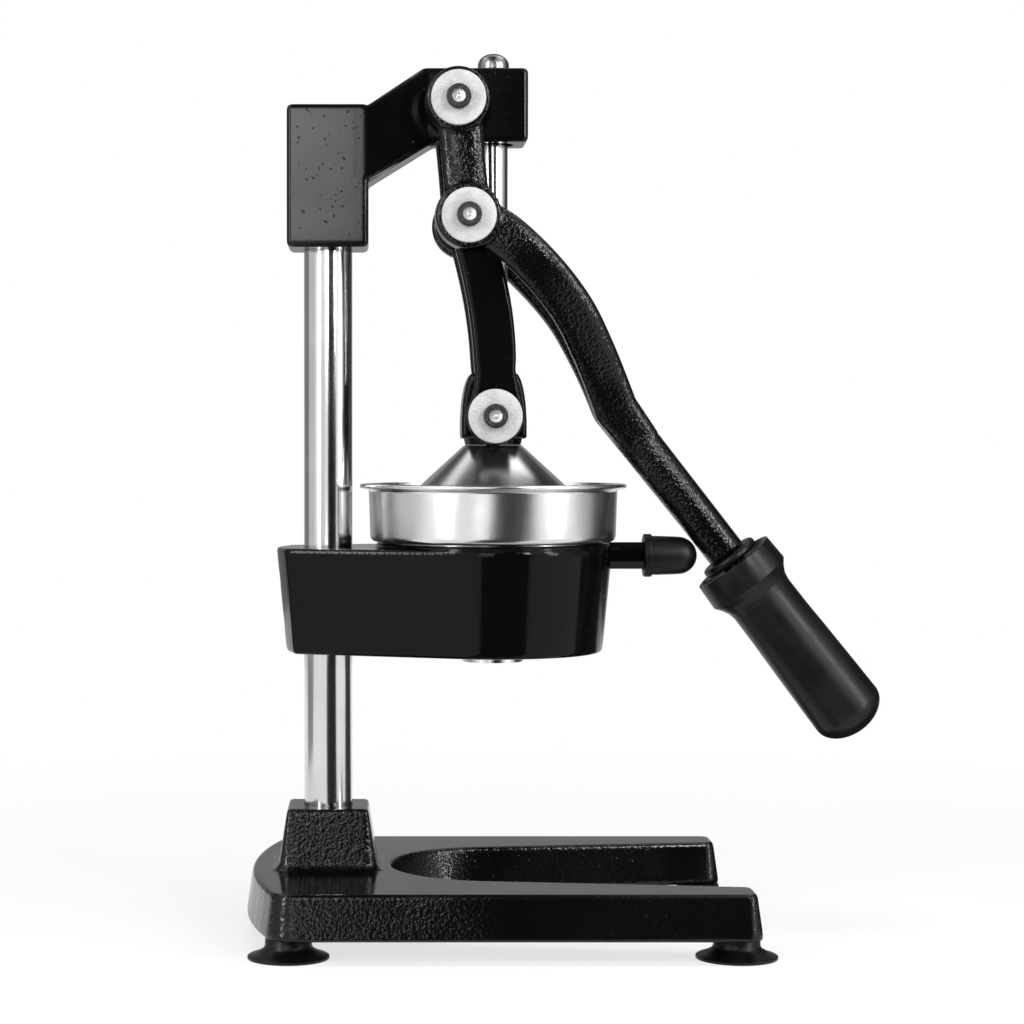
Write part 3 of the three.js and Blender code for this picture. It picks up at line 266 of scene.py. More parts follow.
@dataclass(frozen=True)
class CastPaint:
    """Black gloss powder coat over a casting: rounded bumps in patches, and a few small pits.

    Depths are in metres and scales in grains per metre. The bumps are calmer on faces that look up more than
    calm_above, and past the row's X of calm_past.
    """

    name: str
    bump_depth: float
    calm_share: float
    pits_from: float = 0.74
    calm_above: float = 1.1
    calm_past: float = 9.0
    roughness: float = 0.13
    gloss: float = 0.32
    pit_depth: float = 0.0001
    bump_scale: float = 680.0
    bump_detail: float = 1.2
    pit_scale: float = 560.0
    pit_edge: float = 0.09
    patch_scale: float = 24.0
    patch_detail: float = 1.5
    calm_turn: float = 0.2
    top_share: float = 0.12
    calm_run: float = 0.06
    past_share: float = 0.35
    dulling: float = 0.05
    dark: Colour = (0.0015, 0.0015, 0.0017)
    light: Colour = (0.0031, 0.0031, 0.0033)

    def make(self) -> bpy.types.Material:
        """The finish as a material."""
        bench = NodeBench(self.name)
        bumps = bench.noise(self.bump_scale, self.bump_detail)
        specks = bench.noise(self.pit_scale, 0.0)
        pits = bench.spread(specks, self.pits_from, self.pits_from + self.pit_edge, 1, 0)
        patches = bench.noise(self.patch_scale, self.patch_detail)
        shown = bench.spread(patches, *MIDDLE, self.calm_share, 1.0)
        if self.calm_above < 1:
            facing = bench.node("ShaderNodeNewGeometry").outputs["Normal"]
            upward = bench.node("ShaderNodeSeparateXYZ", inputs={0: facing}).outputs["Z"]
            turning = self.calm_above - self.calm_turn
            calm = bench.spread(upward, turning, self.calm_above, 1.0, self.top_share)
            shown = bench.product(shown, calm)
        if self.calm_past < 1:
            along = bench.node("ShaderNodeSeparateXYZ", inputs={0: bench.place}).outputs["X"]
            calm = bench.spread(along, self.calm_past - self.calm_run, self.calm_past, 1.0, self.past_share)
            shown = bench.product(shown, calm)
        bench.bump([(bumps, self.bump_depth), (pits, self.pit_depth)], shown)
        bench.tint(patches, self.dark, self.light)
        bench.vary("Roughness", patches, BROAD, self.roughness, self.roughness + self.dulling)
        bench.shader.inputs["Specular IOR Level"].default_value = self.gloss
        return bench.material


@dataclass(frozen=True)
class TurnedMetal:
    """Bright metal with a fine grain, and the lines of turning or brushing round an upright axis."""

    name: str
    axis_x: float
    colour: Colour
    roughness: float
    line_depth: float = 0.000001
    grain_depth: float = 0.000006
    line_pitch: float = 2200.0
    line_turns: float = 6.0
    line_detail: float = 3.0
    grain_scale: float = 2300.0
    smear_scale: float = 34.0
    smear_detail: float = 3.0
    smeared: Point2 = (0.35, 0.7)
    dull_share: float = 0.9

    def make(self) -> bpy.types.Material:
        """The finish as a material."""
        bench = NodeBench(self.name)
        wound = bench.around(self.axis_x, self.line_pitch, self.line_turns)
        lines = bench.noise(1.0, self.line_detail, wound)
        grain = bench.noise(self.grain_scale, 1.0)
        smears = bench.noise(self.smear_scale, self.smear_detail)
        bench.bump([(lines, self.line_depth), (grain, self.grain_depth)])
        dull = tuple(self.dull_share * share for share in self.colour)
        bench.tint(bench.spread(smears, *self.smeared, 0, 1), self.colour, dull)
        clean, dusty = self.dull_share * self.roughness, (2 - self.dull_share) * self.roughness
        bench.vary("Roughness", smears, BROAD, clean, dusty)
        bench.shader.inputs["Metallic"].default_value = 1.0
        return bench.material


@dataclass(frozen=True)
class PlainMetal:
    """Plated metal with a fine grain and small scratches."""

    name: str
    colour: Colour
    roughness: float
    grain: float = 1800.0
    grain_depth: float = 0.00002
    metallic: float = 1.0
    grain_detail: float = 3.0
    wear_scale: float = 160.0
    wear_detail: float = 4.0
    worn: Point2 = (0.4, 0.65)
    dull_share: float = 0.85
    rough_share: float = 1.2

    def make(self) -> bpy.types.Material:
        """The finish as a material."""
        bench = NodeBench(self.name)
        grain = bench.noise(self.grain, self.grain_detail)
        wear = bench.noise(self.wear_scale, self.wear_detail)
        bench.bump([(grain, self.grain_depth)])
        dull = tuple(self.dull_share * share for share in self.colour)
        bench.tint(bench.spread(wear, *self.worn, 0, 1), self.colour, dull)
        smooth, rough = self.dull_share * self.roughness, self.rough_share * self.roughness
        bench.vary("Roughness", wear, BROAD, smooth, rough)
        bench.shader.inputs["Metallic"].default_value = self.metallic
        return bench.material


@dataclass(frozen=True)
class Moulded:
    """Black rubber or plastic with the light texture of its mould."""

    name: str
    roughness: float
    texture: float
    depth: float
    shade: float = 0.003
    light_share: float = 1.7
    pore_detail: float = 2.0
    bloom_scale: float = 60.0
    bloom_detail: float = 3.0
    bloomed: Point2 = (0.4, 0.7)
    dulling: float = 0.08
    gloss: float = 0.26

    def make(self) -> bpy.types.Material:
        """The finish as a material."""
        bench = NodeBench(self.name)
        pores = bench.noise(self.texture, self.pore_detail)
        bloom = bench.noise(self.bloom_scale, self.bloom_detail)
        bench.bump([(pores, self.depth)])
        dark, light = (self.shade,) * 3, (self.light_share * self.shade,) * 3
        bench.tint(bench.spread(bloom, *self.bloomed, 0, 1), dark, light)
        bench.vary("Roughness", bloom, BROAD, self.roughness, self.roughness + self.dulling)
        bench.shader.inputs["Specular IOR Level"].default_value = self.gloss
        return bench.material


SMOOTH = {"bump_depth": 0.000012, "calm_share": 0.3, "pits_from": 0.785, "roughness": 0.1}
FINISHES = {
    "rough_cast": CastPaint("rough_cast_paint", bump_depth=0.00042, calm_share=0.55),
    "base_cast": CastPaint(
        "base_cast_paint", bump_depth=0.00045, calm_share=0.4, calm_above=0.97, calm_past=COLUMN_X + 0.095
    ),
    "smooth_cast": CastPaint("smooth_cast_paint", **SMOOTH, gloss=0.15),
    "head_cast": CastPaint("head_cast_paint", **SMOOTH),
    "polished_column": TurnedMetal("polished_column", COLUMN_X, colour=(0.7, 0.7, 0.71), roughness=0.15),
    "polished_rod": TurnedMetal(
        "polished_rod", GUIDE_ROW_X, colour=(0.7, 0.7, 0.71), roughness=0.16, grain_depth=0.000005
    ),
    "satin_knob": TurnedMetal("satin_knob", GUIDE_ROW_X, colour=(0.3, 0.3, 0.31), roughness=0.3),
    "brushed_cup": TurnedMetal(
        "brushed_cup",
        GUIDE_ROW_X,
        colour=(0.76, 0.76, 0.77),
        roughness=0.22,
        line_depth=0.0000006,
        grain_depth=0.00004,
        line_pitch=3000,
    ),
    "satin_cone": TurnedMetal(
        "satin_cone",
        GUIDE_ROW_X,
        colour=(0.56, 0.56, 0.57),
        roughness=0.24,
        line_depth=0.000002,
        grain_depth=0.000004,
        line_pitch=1600,
    ),
    "matte_washer": PlainMetal("matte_washer", (0.56, 0.56, 0.565), 0.5, 1300, 0.0004, metallic=0.15),
    "dark_screw": PlainMetal("dark_screw", (0.05, 0.05, 0.053), 0.28, 1100, 0.0006),
    # Painted highlight: a light metal for the screws' sockets that stands for the bright spot at each screw's
    # centre
    "painted_highlight_socket": PlainMetal("painted_highlight_socket", (0.85, 0.85, 0.86), 0.3, 900, 0.0001),
    HIDDEN_STEEL: PlainMetal(HIDDEN_STEEL, (0.62, 0.62, 0.63), 0.28),
    "bush_bronze": PlainMetal("bush_bronze", (0.45, 0.3, 0.13), 0.35),
    "soft_rubber": Moulded("soft_rubber", roughness=0.34, texture=900, depth=0.00002),
    "grip_plastic": Moulded("grip_plastic", roughness=0.3, texture=1300, depth=0.000012),
}
_made: dict[str, bpy.types.Material] = {}


def finish(key: str) -> bpy.types.Material:
    """A finish as a material, made once.

    Args:
        key: its key in FINISHES.

    Returns:
        The material.
    """
    if key not in _made:
        _made[key] = FINISHES[key].make()
    return _made[key]


# Forms

# Below this radius a lathe's point is on its axis
ON_AXIS = 1e-6
# Corners that turn by less than twice this angle, in radians, aren't rounded
STRAIGHT = 1e-3
# The share of a side that a corner's rounding may take
LONGEST_ROUNDING = 0.49


def arc(cx: float, cy: float, radius: float, start: float, end: float, steps: int) -> list[Point2]:
    """Points on an arc.

    Args:
        cx: centre across.
        cy: centre up.
        radius: the radius.
        start: first angle in degrees.
        end: last angle in degrees.
        steps: number of steps.

    Returns:
        The points, both ends included.
    """
    angles = [math.radians(start + (end - start) * k / steps) for k in range(steps + 1)]
    return [(cx + radius * math.cos(a), cy + radius * math.sin(a)) for a in angles]


def softened(corners: Sequence[tuple], steps: int = 5, closed: bool = True) -> list[Point2]:
    """A chain of corners with each one rounded.

    Args:
        corners: (x, y) or (x, y, radius) for each corner.
        steps: points to each rounding.
        closed: whether the last corner joins the first.

    Returns:
        The rounded chain.
    """
    points: list[Point2] = []
    count = len(corners)
    for i, corner in enumerate(corners):
        here = Vector(corner[:2])
        radius = corner[2] if len(corner) > 2 else 0
        if radius <= 0 or (not closed and i in (0, count - 1)):
            points.append((here.x, here.y))
            continue
        back = Vector(corners[i - 1][:2]) - here
        ahead = Vector(corners[(i + 1) % count][:2]) - here
        half = back.angle(ahead) / 2
        longest = LONGEST_ROUNDING * min(back.length, ahead.length)
        reach = min(radius / math.tan(half), longest)
        start, end = here + back.normalized() * reach, here + ahead.normalized() * reach
        if abs(half - math.pi / 2) < STRAIGHT:
            points.append((here.x, here.y))
            continue
        centre = here + (back.normalized() + ahead.normalized()).normalized() * (reach / math.cos(half))
        first, last = start - centre, end - centre
        sweep = first.angle_signed(last)
        for k in range(steps + 1):
            turned = first.copy()
            turned.rotate(Matrix.Rotation(-sweep * k / steps, 2))
            points.append((centre.x + turned.x, centre.y + turned.y))
    return points


def between(values: Sequence[float], share: float) -> float:
    """A value on the smooth curve through four, between the second and the third.

    Args:
        values: the four values.
        share: how far along from the second.

    Returns:
        The value.
    """
    a, b, c, d = values
    linear, square, cube = c - a, 2 * a - 5 * b + 4 * c - d, 3 * b - a - 3 * c + d
    return 0.5 * (2 * b + linear * share + square * share**2 + cube * share**3)


def drawn_in(outline: Sequence[Point2], distance: float) -> list[Point2]:
    """A counterclockwise outline, drawn in by a distance.

    Args:
        outline: the outline.
        distance: how far in.

    Returns:
        The smaller outline.
    """
    if not distance:
        return list(outline)
    result = []
    count = len(outline)
    for i, point in enumerate(outline):
        here = Vector(point)
        into = (here - Vector(outline[i - 1])).normalized()
        onward = (Vector(outline[(i + 1) % count]) - here).normalized()
        first, second = Vector((-into.y, into.x)), Vector((-onward.y, onward.x))
        moved = here + (first + second) * (distance / (1 + first.dot(second)))
        result.append((moved.x, moved.y))
    return result


class Form:
    """A mesh in the making, in millimetres from the column's axis."""

    def __init__(self) -> None:
        """Starts an empty form."""
        self.mesh = bmesh.new()

    def lathe(
        self,
        profile: Sequence[Point2],
        at: Sequence[float] = (0, 0, 0),
        axis: Sequence[float] = (0, 0, 1),
        steps: int = 96,
        flutes: float = 0.0,
    ) -> "Form":
        """Adds a body of revolution.

        Args:
            profile: (radius, height) points, closed on itself or with both ends on the axis.
            at: where height nought is.
            axis: the axis's direction.
            steps: sides of the circle.
            flutes: how much every second pair of sides is drawn in, for a knurled rim.

        Returns:
            This form.
        """
        turn = UP.rotation_difference(Vector(axis).normalized())
        start = Vector(at)
        closed = profile[0] == profile[-1]
        rings = []
        for radius, height in profile[:-1] if closed else profile:
            if radius < ON_AXIS:
                rings.append([self.mesh.verts.new(start + turn @ Vector((0, 0, height)))])
                continue
            ring = []
            for k in range(steps):
                angle = 2 * math.pi * k / steps
                reach = radius - (flutes if k % 4 in (0, 1) else 0)
                spot = Vector((reach * math.cos(angle), reach * math.sin(angle), height))
                ring.append(self.mesh.verts.new(start + turn @ spot))
            rings.append(ring)
        pairs = list(zip(rings, rings[1:]))
        if closed:
            pairs.append((rings[-1], rings[0]))
        for low, high in pairs:
            for k in range(max(len(low), len(high))):
                following = (k + 1) % steps
                corners = [low[k], low[following]] if len(low) > 1 else [low[0]]
                corners += [high[following], high[k]] if len(high) > 1 else [high[0]]
                if len(corners) > 2:
                    self.mesh.faces.new(corners)
        return self

    def rings(self, rings: Sequence[Sequence[Vector]]) -> "Form":
        """Adds a closed body through rings of equally many points.

        Args:
            rings: the rings in order.

        Returns:
            This form.
        """
        made = [[self.mesh.verts.new(point) for point in ring] for ring in rings]
        count = len(made[0])
        for low, high in zip(made, made[1:]):
            for k in range(count):
                following = (k + 1) % count
                self.mesh.faces.new((low[k], low[following], high[following], high[k]))
        self.mesh.faces.new(list(reversed(made[0])))
        self.mesh.faces.new(made[-1])
        return self

    def plate(self, outline: Sequence[Point2], levels: Sequence[Point2]) -> "Form":
        """Adds a lying plate.

        Args:
            outline: its outline in X and Y, counterclockwise.
            levels: (height, how far drawn in) from low to high.

        Returns:
            This form.
        """
        return self.rings([[Vector((x, y, z)) for x, y in drawn_in(outline, d)] for z, d in levels])

    def standing(self, outline: Sequence[Point2], levels: Sequence[Point2]) -> "Form":
        """Adds a plate that stands on edge.

        Args:
            outline: its outline in X and Z, counterclockwise.
            levels: (Y, how far drawn in) in order.

        Returns:
            This form.
        """
        return self.rings([[Vector((x, y, z)) for x, z in drawn_in(outline, d)] for y, d in levels])

    def prism(
        self,
        sides: int,
        radius: float,
        ends: Point2,
        at: Sequence[float],
        axis: Sequence[float],
        turn: float = 0.0,
    ) -> "Form":
        """Adds a bar with flat sides.

        Args:
            sides: number of sides.
            radius: radius over the corners.
            ends: its two ends along the axis.
            at: the axis's start.
            axis: its direction.
            turn: how far the section is turned, in degrees.

        Returns:
            This form.
        """
        lay = UP.rotation_difference(Vector(axis).normalized())
        angles = [math.radians(turn + 360 * k / sides) for k in range(sides)]
        rings = []
        for height in ends:
            spots = [Vector((radius * math.cos(a), radius * math.sin(a), height)) for a in angles]
            rings.append([Vector(at) + lay @ spot for spot in spots])
        return self.rings(rings)

    def piece(self, name: str, crease: float = 32.0) -> bpy.types.Object:
        """The form as an object in the row frame.

        Args:
            name: the object's name.
            crease: edges sharper than this many degrees stay sharp.

        Returns:
            The object.
        """
        bmesh.ops.recalc_face_normals(self.mesh, faces=self.mesh.faces)
        data = bpy.data.meshes.new(name)
        self.mesh.to_mesh(data)
        self.mesh.free()
        data.transform(TO_ROW)
        made = linked(name, data)
        shade(made, crease)
        return made


def linked(name: str, data: bpy.types.ID) -> bpy.types.Object:
    """A new object in the scene.

    Args:
        name: the object's name.
        data: its mesh, camera or lamp.

    Returns:
        The object.
    """
    made = bpy.data.objects.new(name, data)
    bpy.context.scene.collection.objects.link(made)
    return made


def shade(piece: bpy.types.Object, crease: float) -> None:
    """Shades a piece smooth, with its sharp edges kept.

    Args:
        piece: the object.
        crease: edges sharper than this many degrees stay sharp.
    """
    piece.data.shade_smooth()
    piece.data.set_sharp_from_angle(angle=math.radians(crease))


def settle(piece: bpy.types.Object) -> bpy.types.Object:
    """Applies a piece's modifiers to its mesh.

    Args:
        piece: the object.

    Returns:
        The same object.
    """
    bpy.context.view_layer.update()
    graph = bpy.context.evaluated_depsgraph_get()
    data = bpy.data.meshes.new_from_object(piece.evaluated_get(graph), depsgraph=graph)
    old = piece.data
    piece.modifiers.clear()
    piece.data = data
    bpy.data.meshes.remove(old)
    data.name = piece.name
    return piece


def cast(piece: bpy.types.Object, grain: float, rounds: int) -> bpy.types.Object:
    """Fuses a piece's overlapping bodies into one casting with soft edges and fillets.

    Args:
        piece: the object.
        grain: size of its mesh in millimetres.
        rounds: how often it is smoothed.

    Returns:
        The same object.
    """
    remesh = piece.modifiers.new("fuse", "REMESH")
    remesh.mode = "VOXEL"
    remesh.voxel_size = grain / PER_METRE
    remesh.use_smooth_shade = True
    smooth = piece.modifiers.new("soften", "SMOOTH")
    smooth.factor = 0.5
    smooth.iterations = rounds
    settle(piece)
    piece.data.shade_smooth()
    return piece


def cut(piece: bpy.types.Object, *cutters: bpy.types.Object, crease: float = 32.0) -> bpy.types.Object:
    """Cuts bodies out of a piece.

    Args:
        piece: the object.
        cutters: what is cut away, which is used up.
        crease: edges sharper than this many degrees stay sharp.

    Returns:
        The same object.
    """
    for cutter in cutters:
        knife = piece.modifiers.new("cut", "BOOLEAN")
        knife.operation = "DIFFERENCE"
        knife.solver = "EXACT"
        knife.object = cutter
    settle(piece)
    for cutter in cutters:
        bpy.data.objects.remove(cutter)
    shade(piece, crease)
    return piece


def add_to(piece: bpy.types.Object, other: bpy.types.Object) -> bpy.types.Object:
    """Joins another object's mesh to a piece as it is.

    Args:
        piece: the object that grows.
        other: the object that goes.

    Returns:
        The first object.
    """
    grown = bmesh.new()
    grown.from_mesh(piece.data)
    grown.from_mesh(other.data)
    grown.to_mesh(piece.data)
    grown.free()
    bpy.data.objects.remove(other)
    return piece


def bar(radius: float, low: float, high: float) -> list[Point2]:
    """The profile of a plain round bar.

    Args:
        radius: its radius.
        low: its low end.
        high: its high end.

    Returns:
        The profile.
    """
    return [(0, low), (radius, low), (radius, high), (0, high)]


def drill(
    name: str,
    span: Span,
    at: Sequence[float] = (0, 0, 0),
    axis: Sequence[float] = (0, 0, 1),
    steps: int = 96,
) -> bpy.types.Object:
    """A round bar to cut a bore with.

    Args:
        name: the object's name.
        span: the bore's radius and its two ends along the axis.
        at: where the axis starts.
        axis: its direction.
        steps: sides of the circle.

    Returns:
        The object.
    """
    return Form().lathe(bar(*span), at, axis, steps).piece(name)


def rounded_box(across: Point2, up: Point2, radius: float, steps: int = 5) -> list[Point2]:
    """A rectangle with round corners, counterclockwise.

    Args:
        across: its left and right sides.
        up: its low and high sides.
        radius: the corners' radius.
        steps: points to each corner.

    Returns:
        The outline.
    """
    (left, right), (low, high) = across, up
    corners = [(left, low), (right, low), (right, high), (left, high)]
    return softened([(*corner, radius) for corner in corners], steps)


class SubAssembly:
    """What the sub-assemblies share: dressing a piece and fixing it to its body."""

    def dress(
        self,
        piece: bpy.types.Object,
        key: str,
        slot: Slot,
        body: Body,
        *nodes: str,
    ) -> bpy.types.Object:
        """Gives a piece its finish, its body and the nodes that it stands for.

        Args:
            piece: the object.
            key: its finish.
            slot: the record's slot of that finish; not used.
            body: the body it rides on.
            nodes: nodes that it replaces.

        Returns:
            The same object.
        """
        piece.data.materials.clear()
        piece.data.materials.append(finish(key))
        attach(piece, body.value)
        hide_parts(*nodes)
        LOG.info("%s: %d faces", piece.name, len(piece.data.polygons))
        return piece

    def paint(self, *nodes: str) -> None:
        """Gives hidden nodes that stay as they are the finish of plain steel.

        Args:
            nodes: the nodes.
        """
        for node in nodes:
            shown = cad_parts[node]
            shown.data.materials.clear()
            shown.data.materials.append(finish(HIDDEN_STEEL))
            LOG.info("%s keeps its own shape", node)


@dataclass
class Stand(SubAssembly):
    """Cast base with its socket, and the four rubber feet.

    Each socket level is a height over the plate's top and how far its outline is drawn in. The foot's outside
    and inside are (radius, height) points.
    """

    foot_top: float = 10.0
    thickness: float = 20.4
    half_width: float = 86.5
    front: float = 191.0
    front_round: float = 7.0
    rear: float = 37.7
    rear_sag: float = 14.0
    rear_round: float = 13.0
    rear_share: float = 0.78
    rear_steps: int = 12
    slot_radius: float = 44.5
    slot_splay: float = 7.4
    edge: float = 1.0
    foot_chamfer: float = 0.6
    draft: float = 2.6
    top_chamfer: float = 0.8
    socket_foot: float = 46.0
    socket_head: float = 37.0
    socket_round: float = 5.5
    socket_height: float = 27.9
    socket_root: tuple[Point2, ...] = ((-3.0, -2.0), (0.0, -2.0), (2.4, 0.4))
    socket_rim: Point2 = (-0.3, 0.5)
    bore: Point2 = (26.0, 70.0)
    recess: Span = (10.3, 0.0, 19.0)
    foot_x: Point2 = (181.0, -16.4)
    foot_y: float = 68.0
    foot_lip: tuple[Point2, ...] = ((16.6, 0.0), (18.1, 0.0), (18.1, 1.0), (17.3, 1.5), (14.6, 2.2))
    foot_neck: tuple[Point2, ...] = ((13.2, 3.1), (11.2, 4.2), (10.4, 5.6), (10.3, 8.8), (9.9, 9.6))
    foot_bore: tuple[Point2, ...] = ((3.2, 9.6), (3.2, 6.2), (6.2, 6.2))
    foot_hollow: tuple[Point2, ...] = ((6.4, 4.4), (10.0, 2.6), (14.0, 0.9))

    def outline(self) -> list[Point2]:
        """The base's outline at its foot."""
        splay = math.radians(self.slot_splay)
        mouth_x = GUIDE_X - self.slot_radius * math.sin(splay)
        mouth = self.slot_radius * math.cos(splay) + (self.front - mouth_x) * math.tan(splay)
        slot = arc(GUIDE_X, 0, self.slot_radius, 270 - self.slot_splay, 90 + self.slot_splay, 40)
        middle = self.rear_steps // 2
        shares = [self.rear_share * (middle - k) / middle for k in range(self.rear_steps + 1)]
        rear = [(self.rear_sag * s * s - self.rear, self.half_width * s) for s in shares]
        side = self.rear_sag - self.rear
        return softened(
            [
                (self.front, -self.half_width, self.front_round),
                (self.front, -mouth, self.front_round),
                *slot,
                (self.front, mouth, self.front_round),
                (self.front, self.half_width, self.front_round),
                (side, self.half_width, self.rear_round),
                *rear,
                (side, -self.half_width, self.rear_round),
            ],
            steps=8,
        )

    def build(self) -> None:
        """Makes the base and its feet."""
        top = self.foot_top + self.thickness
        form = Form()
        low = [(self.foot_top, self.foot_chamfer), (self.foot_top + self.edge, 0)]
        high = [(top - self.edge, self.draft), (top, self.draft + self.top_chamfer)]
        form.plate(self.outline(), [*low, *high])
        wide, narrow = self.socket_foot / 2, self.socket_head / 2
        root = [(top + height, inward) for height, inward in self.socket_root]
        crown = top + self.socket_height
        below, above = (wide - narrow + step for step in self.socket_rim)
        square = rounded_box((-wide, wide), (-wide, wide), self.socket_round)
        form.plate(square, [*root, (crown - self.edge, below), (crown, above)])
        piece = cast(form.piece("base_shell"), grain=0.8, rounds=6)
        cut(piece, drill("bore", (COLUMN_BORE, *self.bore)), drill("recess", self.recess))
        self.dress(piece, "base_cast", Slot.CASTING, Body.FRAME, "base_casting")
        self.paint("column_bolt", "column_washer")
        self.feet()

    def feet(self) -> None:
        """Makes the four suction feet."""
        profile = [*self.foot_lip, *self.foot_neck, *self.foot_bore, *self.foot_hollow, self.foot_lip[0]]
        for end, x in zip(("front", "rear"), self.foot_x):
            for side in Side:
                word = f"{end}_{side.word}"
                foot = Form().lathe(profile, (x, side.value * self.foot_y, 0), steps=72).piece("foot_" + word)
                self.dress(foot, "soft_rubber", Slot.RUBBER, Body.FRAME, "suction_foot_" + word)
                self.paint("foot_screw_" + word)


@dataclass
class Column(SubAssembly):
    """Polished steel column."""

    radius: float = 11.2
    low: float = 26.1
    high: float = 370.9
    edge: float = 1.2

    def build(self) -> None:
        """Makes the column."""
        foot, head = ((self.radius, height, self.edge) for height in (self.low, self.high))
        profile = softened([(0, self.low), foot, head, (0, self.high)], closed=False)
        piece = Form().lathe(profile, steps=128).piece("column_bar")
        self.dress(piece, "polished_column", Slot.POLISHED, Body.FRAME, "column")


@dataclass
class Head(SubAssembly):
    """Cast head with its arm, guide boss and pivot bosses, the bushes and the grub screws.

    Each fairing station is an X, a low and a high end, and a half width.
    """

    half_length: float = 18.7
    half_width: float = 18.7
    floor: float = 316.1
    block_top: float = 381.3
    block_round: float = 2.4
    edge: float = 1.2
    edge_inward: float = 1.4
    arm_half_width: float = 14.6
    arm_foot: float = 345.9
    arm_dip: float = 0.4
    bends: Point2 = (48.8, 44.1)
    bend_round: float = 5.0
    boss_floor: float = 364.5
    boss_end: float = 91.9
    boss_round: float = 2.2
    top: float = 398.3
    pivot_boss: Point2 = (13.0, 24.0)
    overrun: float = 3.0
    guide_radius: float = 9.3
    bore_top: float = 371.2
    grub_hole: Point2 = (6.0, 24.0)
    grub_heights: Point2 = (326.7, 360.7)
    bush_radii: Point2 = (7.05, 9.0)
    bush_length: float = 10.3
    bush_lows: Point2 = (366.4, 385.9)
    fairing_round: float = 1.6
    fairing_stations: tuple[tuple[float, float, float, float], ...] = (
        (12.7, 346.6, 380.7, 18.68),
        (18.1, 346.6, 380.7, 18.66),
        (24.0, 349.8, 384.4, 17.8),
        (32.0, 354.7, 389.7, 16.6),
        (45.0, 362.8, 397.6, 14.7),
    )

    def arm_outline(self) -> list[Point2]:
        """The side outline of the arm and its boss."""
        start = self.block_top - self.arm_dip
        return softened(
            [
                (0, self.arm_foot),
                (self.half_length, self.arm_foot),
                (self.bends[0], self.boss_floor, self.bend_round),
                (self.boss_end, self.boss_floor, self.boss_round),
                (self.boss_end, self.top, self.boss_round),
                (self.bends[1], self.top, self.bend_round),
                (self.half_length - 1, start),
                (0, start),
            ]
        )

    def across(self, half: float) -> list[Point2]:
        """Levels across a standing plate with its edges drawn in.

        Args:
            half: half its width.

        Returns:
            The levels.
        """
        inward = self.edge_inward
        return [(-half, inward), (self.edge - half, 0), (half - self.edge, 0), (half, inward)]

    def fairing(self) -> list[list[Vector]]:
        """Rings of the wedge that carries the block's width over into the arm."""
        rings = []
        for x, low, high, half in self.fairing_stations:
            square = rounded_box((-half, half), (low, high), self.fairing_round, steps=4)
            rings.append([Vector((x, y, z)) for y, z in square])
        return rings

    def build(self) -> None:
        """Makes the head and its bushes."""
        sides = (-self.half_length, self.half_length)
        block = rounded_box(sides, (self.floor, self.block_top), self.block_round)
        form = Form()
        form.standing(block, self.across(self.half_width))
        form.standing(self.arm_outline(), self.across(self.arm_half_width))
        form.rings(self.fairing())
        piece = cast(form.piece("head_shell"), grain=0.6, rounds=6)
        radius, reach = self.pivot_boss
        boss = softened([(0, -reach), (radius, -reach, 1), (radius, reach, 1), (0, reach)], closed=False)
        at = (HEAD_PIVOT[0], 0, HEAD_PIVOT[1])
        add_to(piece, Form().lathe(boss, at, (0, 1, 0)).piece("pivot_boss"))
        guide = (self.guide_radius, self.boss_floor - self.overrun, self.top + self.overrun)
        cutters = [
            drill("guide", guide, GUIDE_FOOT),
            drill("bore", (COLUMN_BORE, self.floor - self.overrun, self.bore_top)),
            *grub_holes(self.grub_heights, self.grub_hole),
        ]
        cut(piece, *cutters)
        self.dress(piece, "head_cast", Slot.CASTING, Body.FRAME, "head_casting")
        self.paint("head_pivot_shaft")
        self.bushes()

    def bushes(self) -> None:
        """Makes the two guide bushes."""
        inner, outer = self.bush_radii
        for word, low in zip(("lower", "upper"), self.bush_lows):
            high = low + self.bush_length
            ring = softened([(inner, low, 0.5), (outer, low, 0.3), (outer, high, 0.3), (inner, high, 0.5)])
            bush = Form().lathe([*ring, ring[0]], GUIDE_FOOT).piece("bush_" + word)
            self.dress(bush, "bush_bronze", Slot.BRONZE, Body.FRAME, "guide_bush_" + word)


def grub_holes(heights: Sequence[float], reach: Point2) -> list[bpy.types.Object]:
    """Cutters for the grub screws' holes, from the column out through a casting's back.

    Args:
        heights: the holes' heights.
        reach: where the holes start and end, from the column's axis.

    Returns:
        The cutters.
    """
    return [drill("hole", (GRUB_HOLE, *reach), (0, 0, height), (-1, 0, 0), 48) for height in heights]


@dataclass
class GrubScrews(SubAssembly):
    """Set screws in the backs of the head and the carrier, which press on the column."""

    radius: float = 3.7
    hexagon: float = 2.3
    depth: float = 2.6
    crease: float = 25.0

    def build(self) -> None:
        """Makes the four screws where their nodes are."""
        for node in ("head_grub_lower", "head_grub_upper", "carrier_grub_lower", "carrier_grub_upper"):
            low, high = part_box(node)
            face = ((low.x - COLUMN_X) * PER_METRE, 0, (low.z + high.z) * PER_METRE / 2)
            length = (high.x - low.x) * PER_METRE
            profile = softened(
                [(0, -length), (self.radius, -length), (self.radius, 0, 0.5), (0, 0)],
                closed=False,
            )
            screw = Form().lathe(profile, face, (-1, 0, 0), 48).piece("grub_" + node, self.crease)
            key = Form().prism(6, self.hexagon, (-self.depth, 2), face, (-1, 0, 0)).piece("key")
            self.dress(cut(screw, key, crease=self.crease), "dark_screw", Slot.SCREW, Body.FRAME, node)


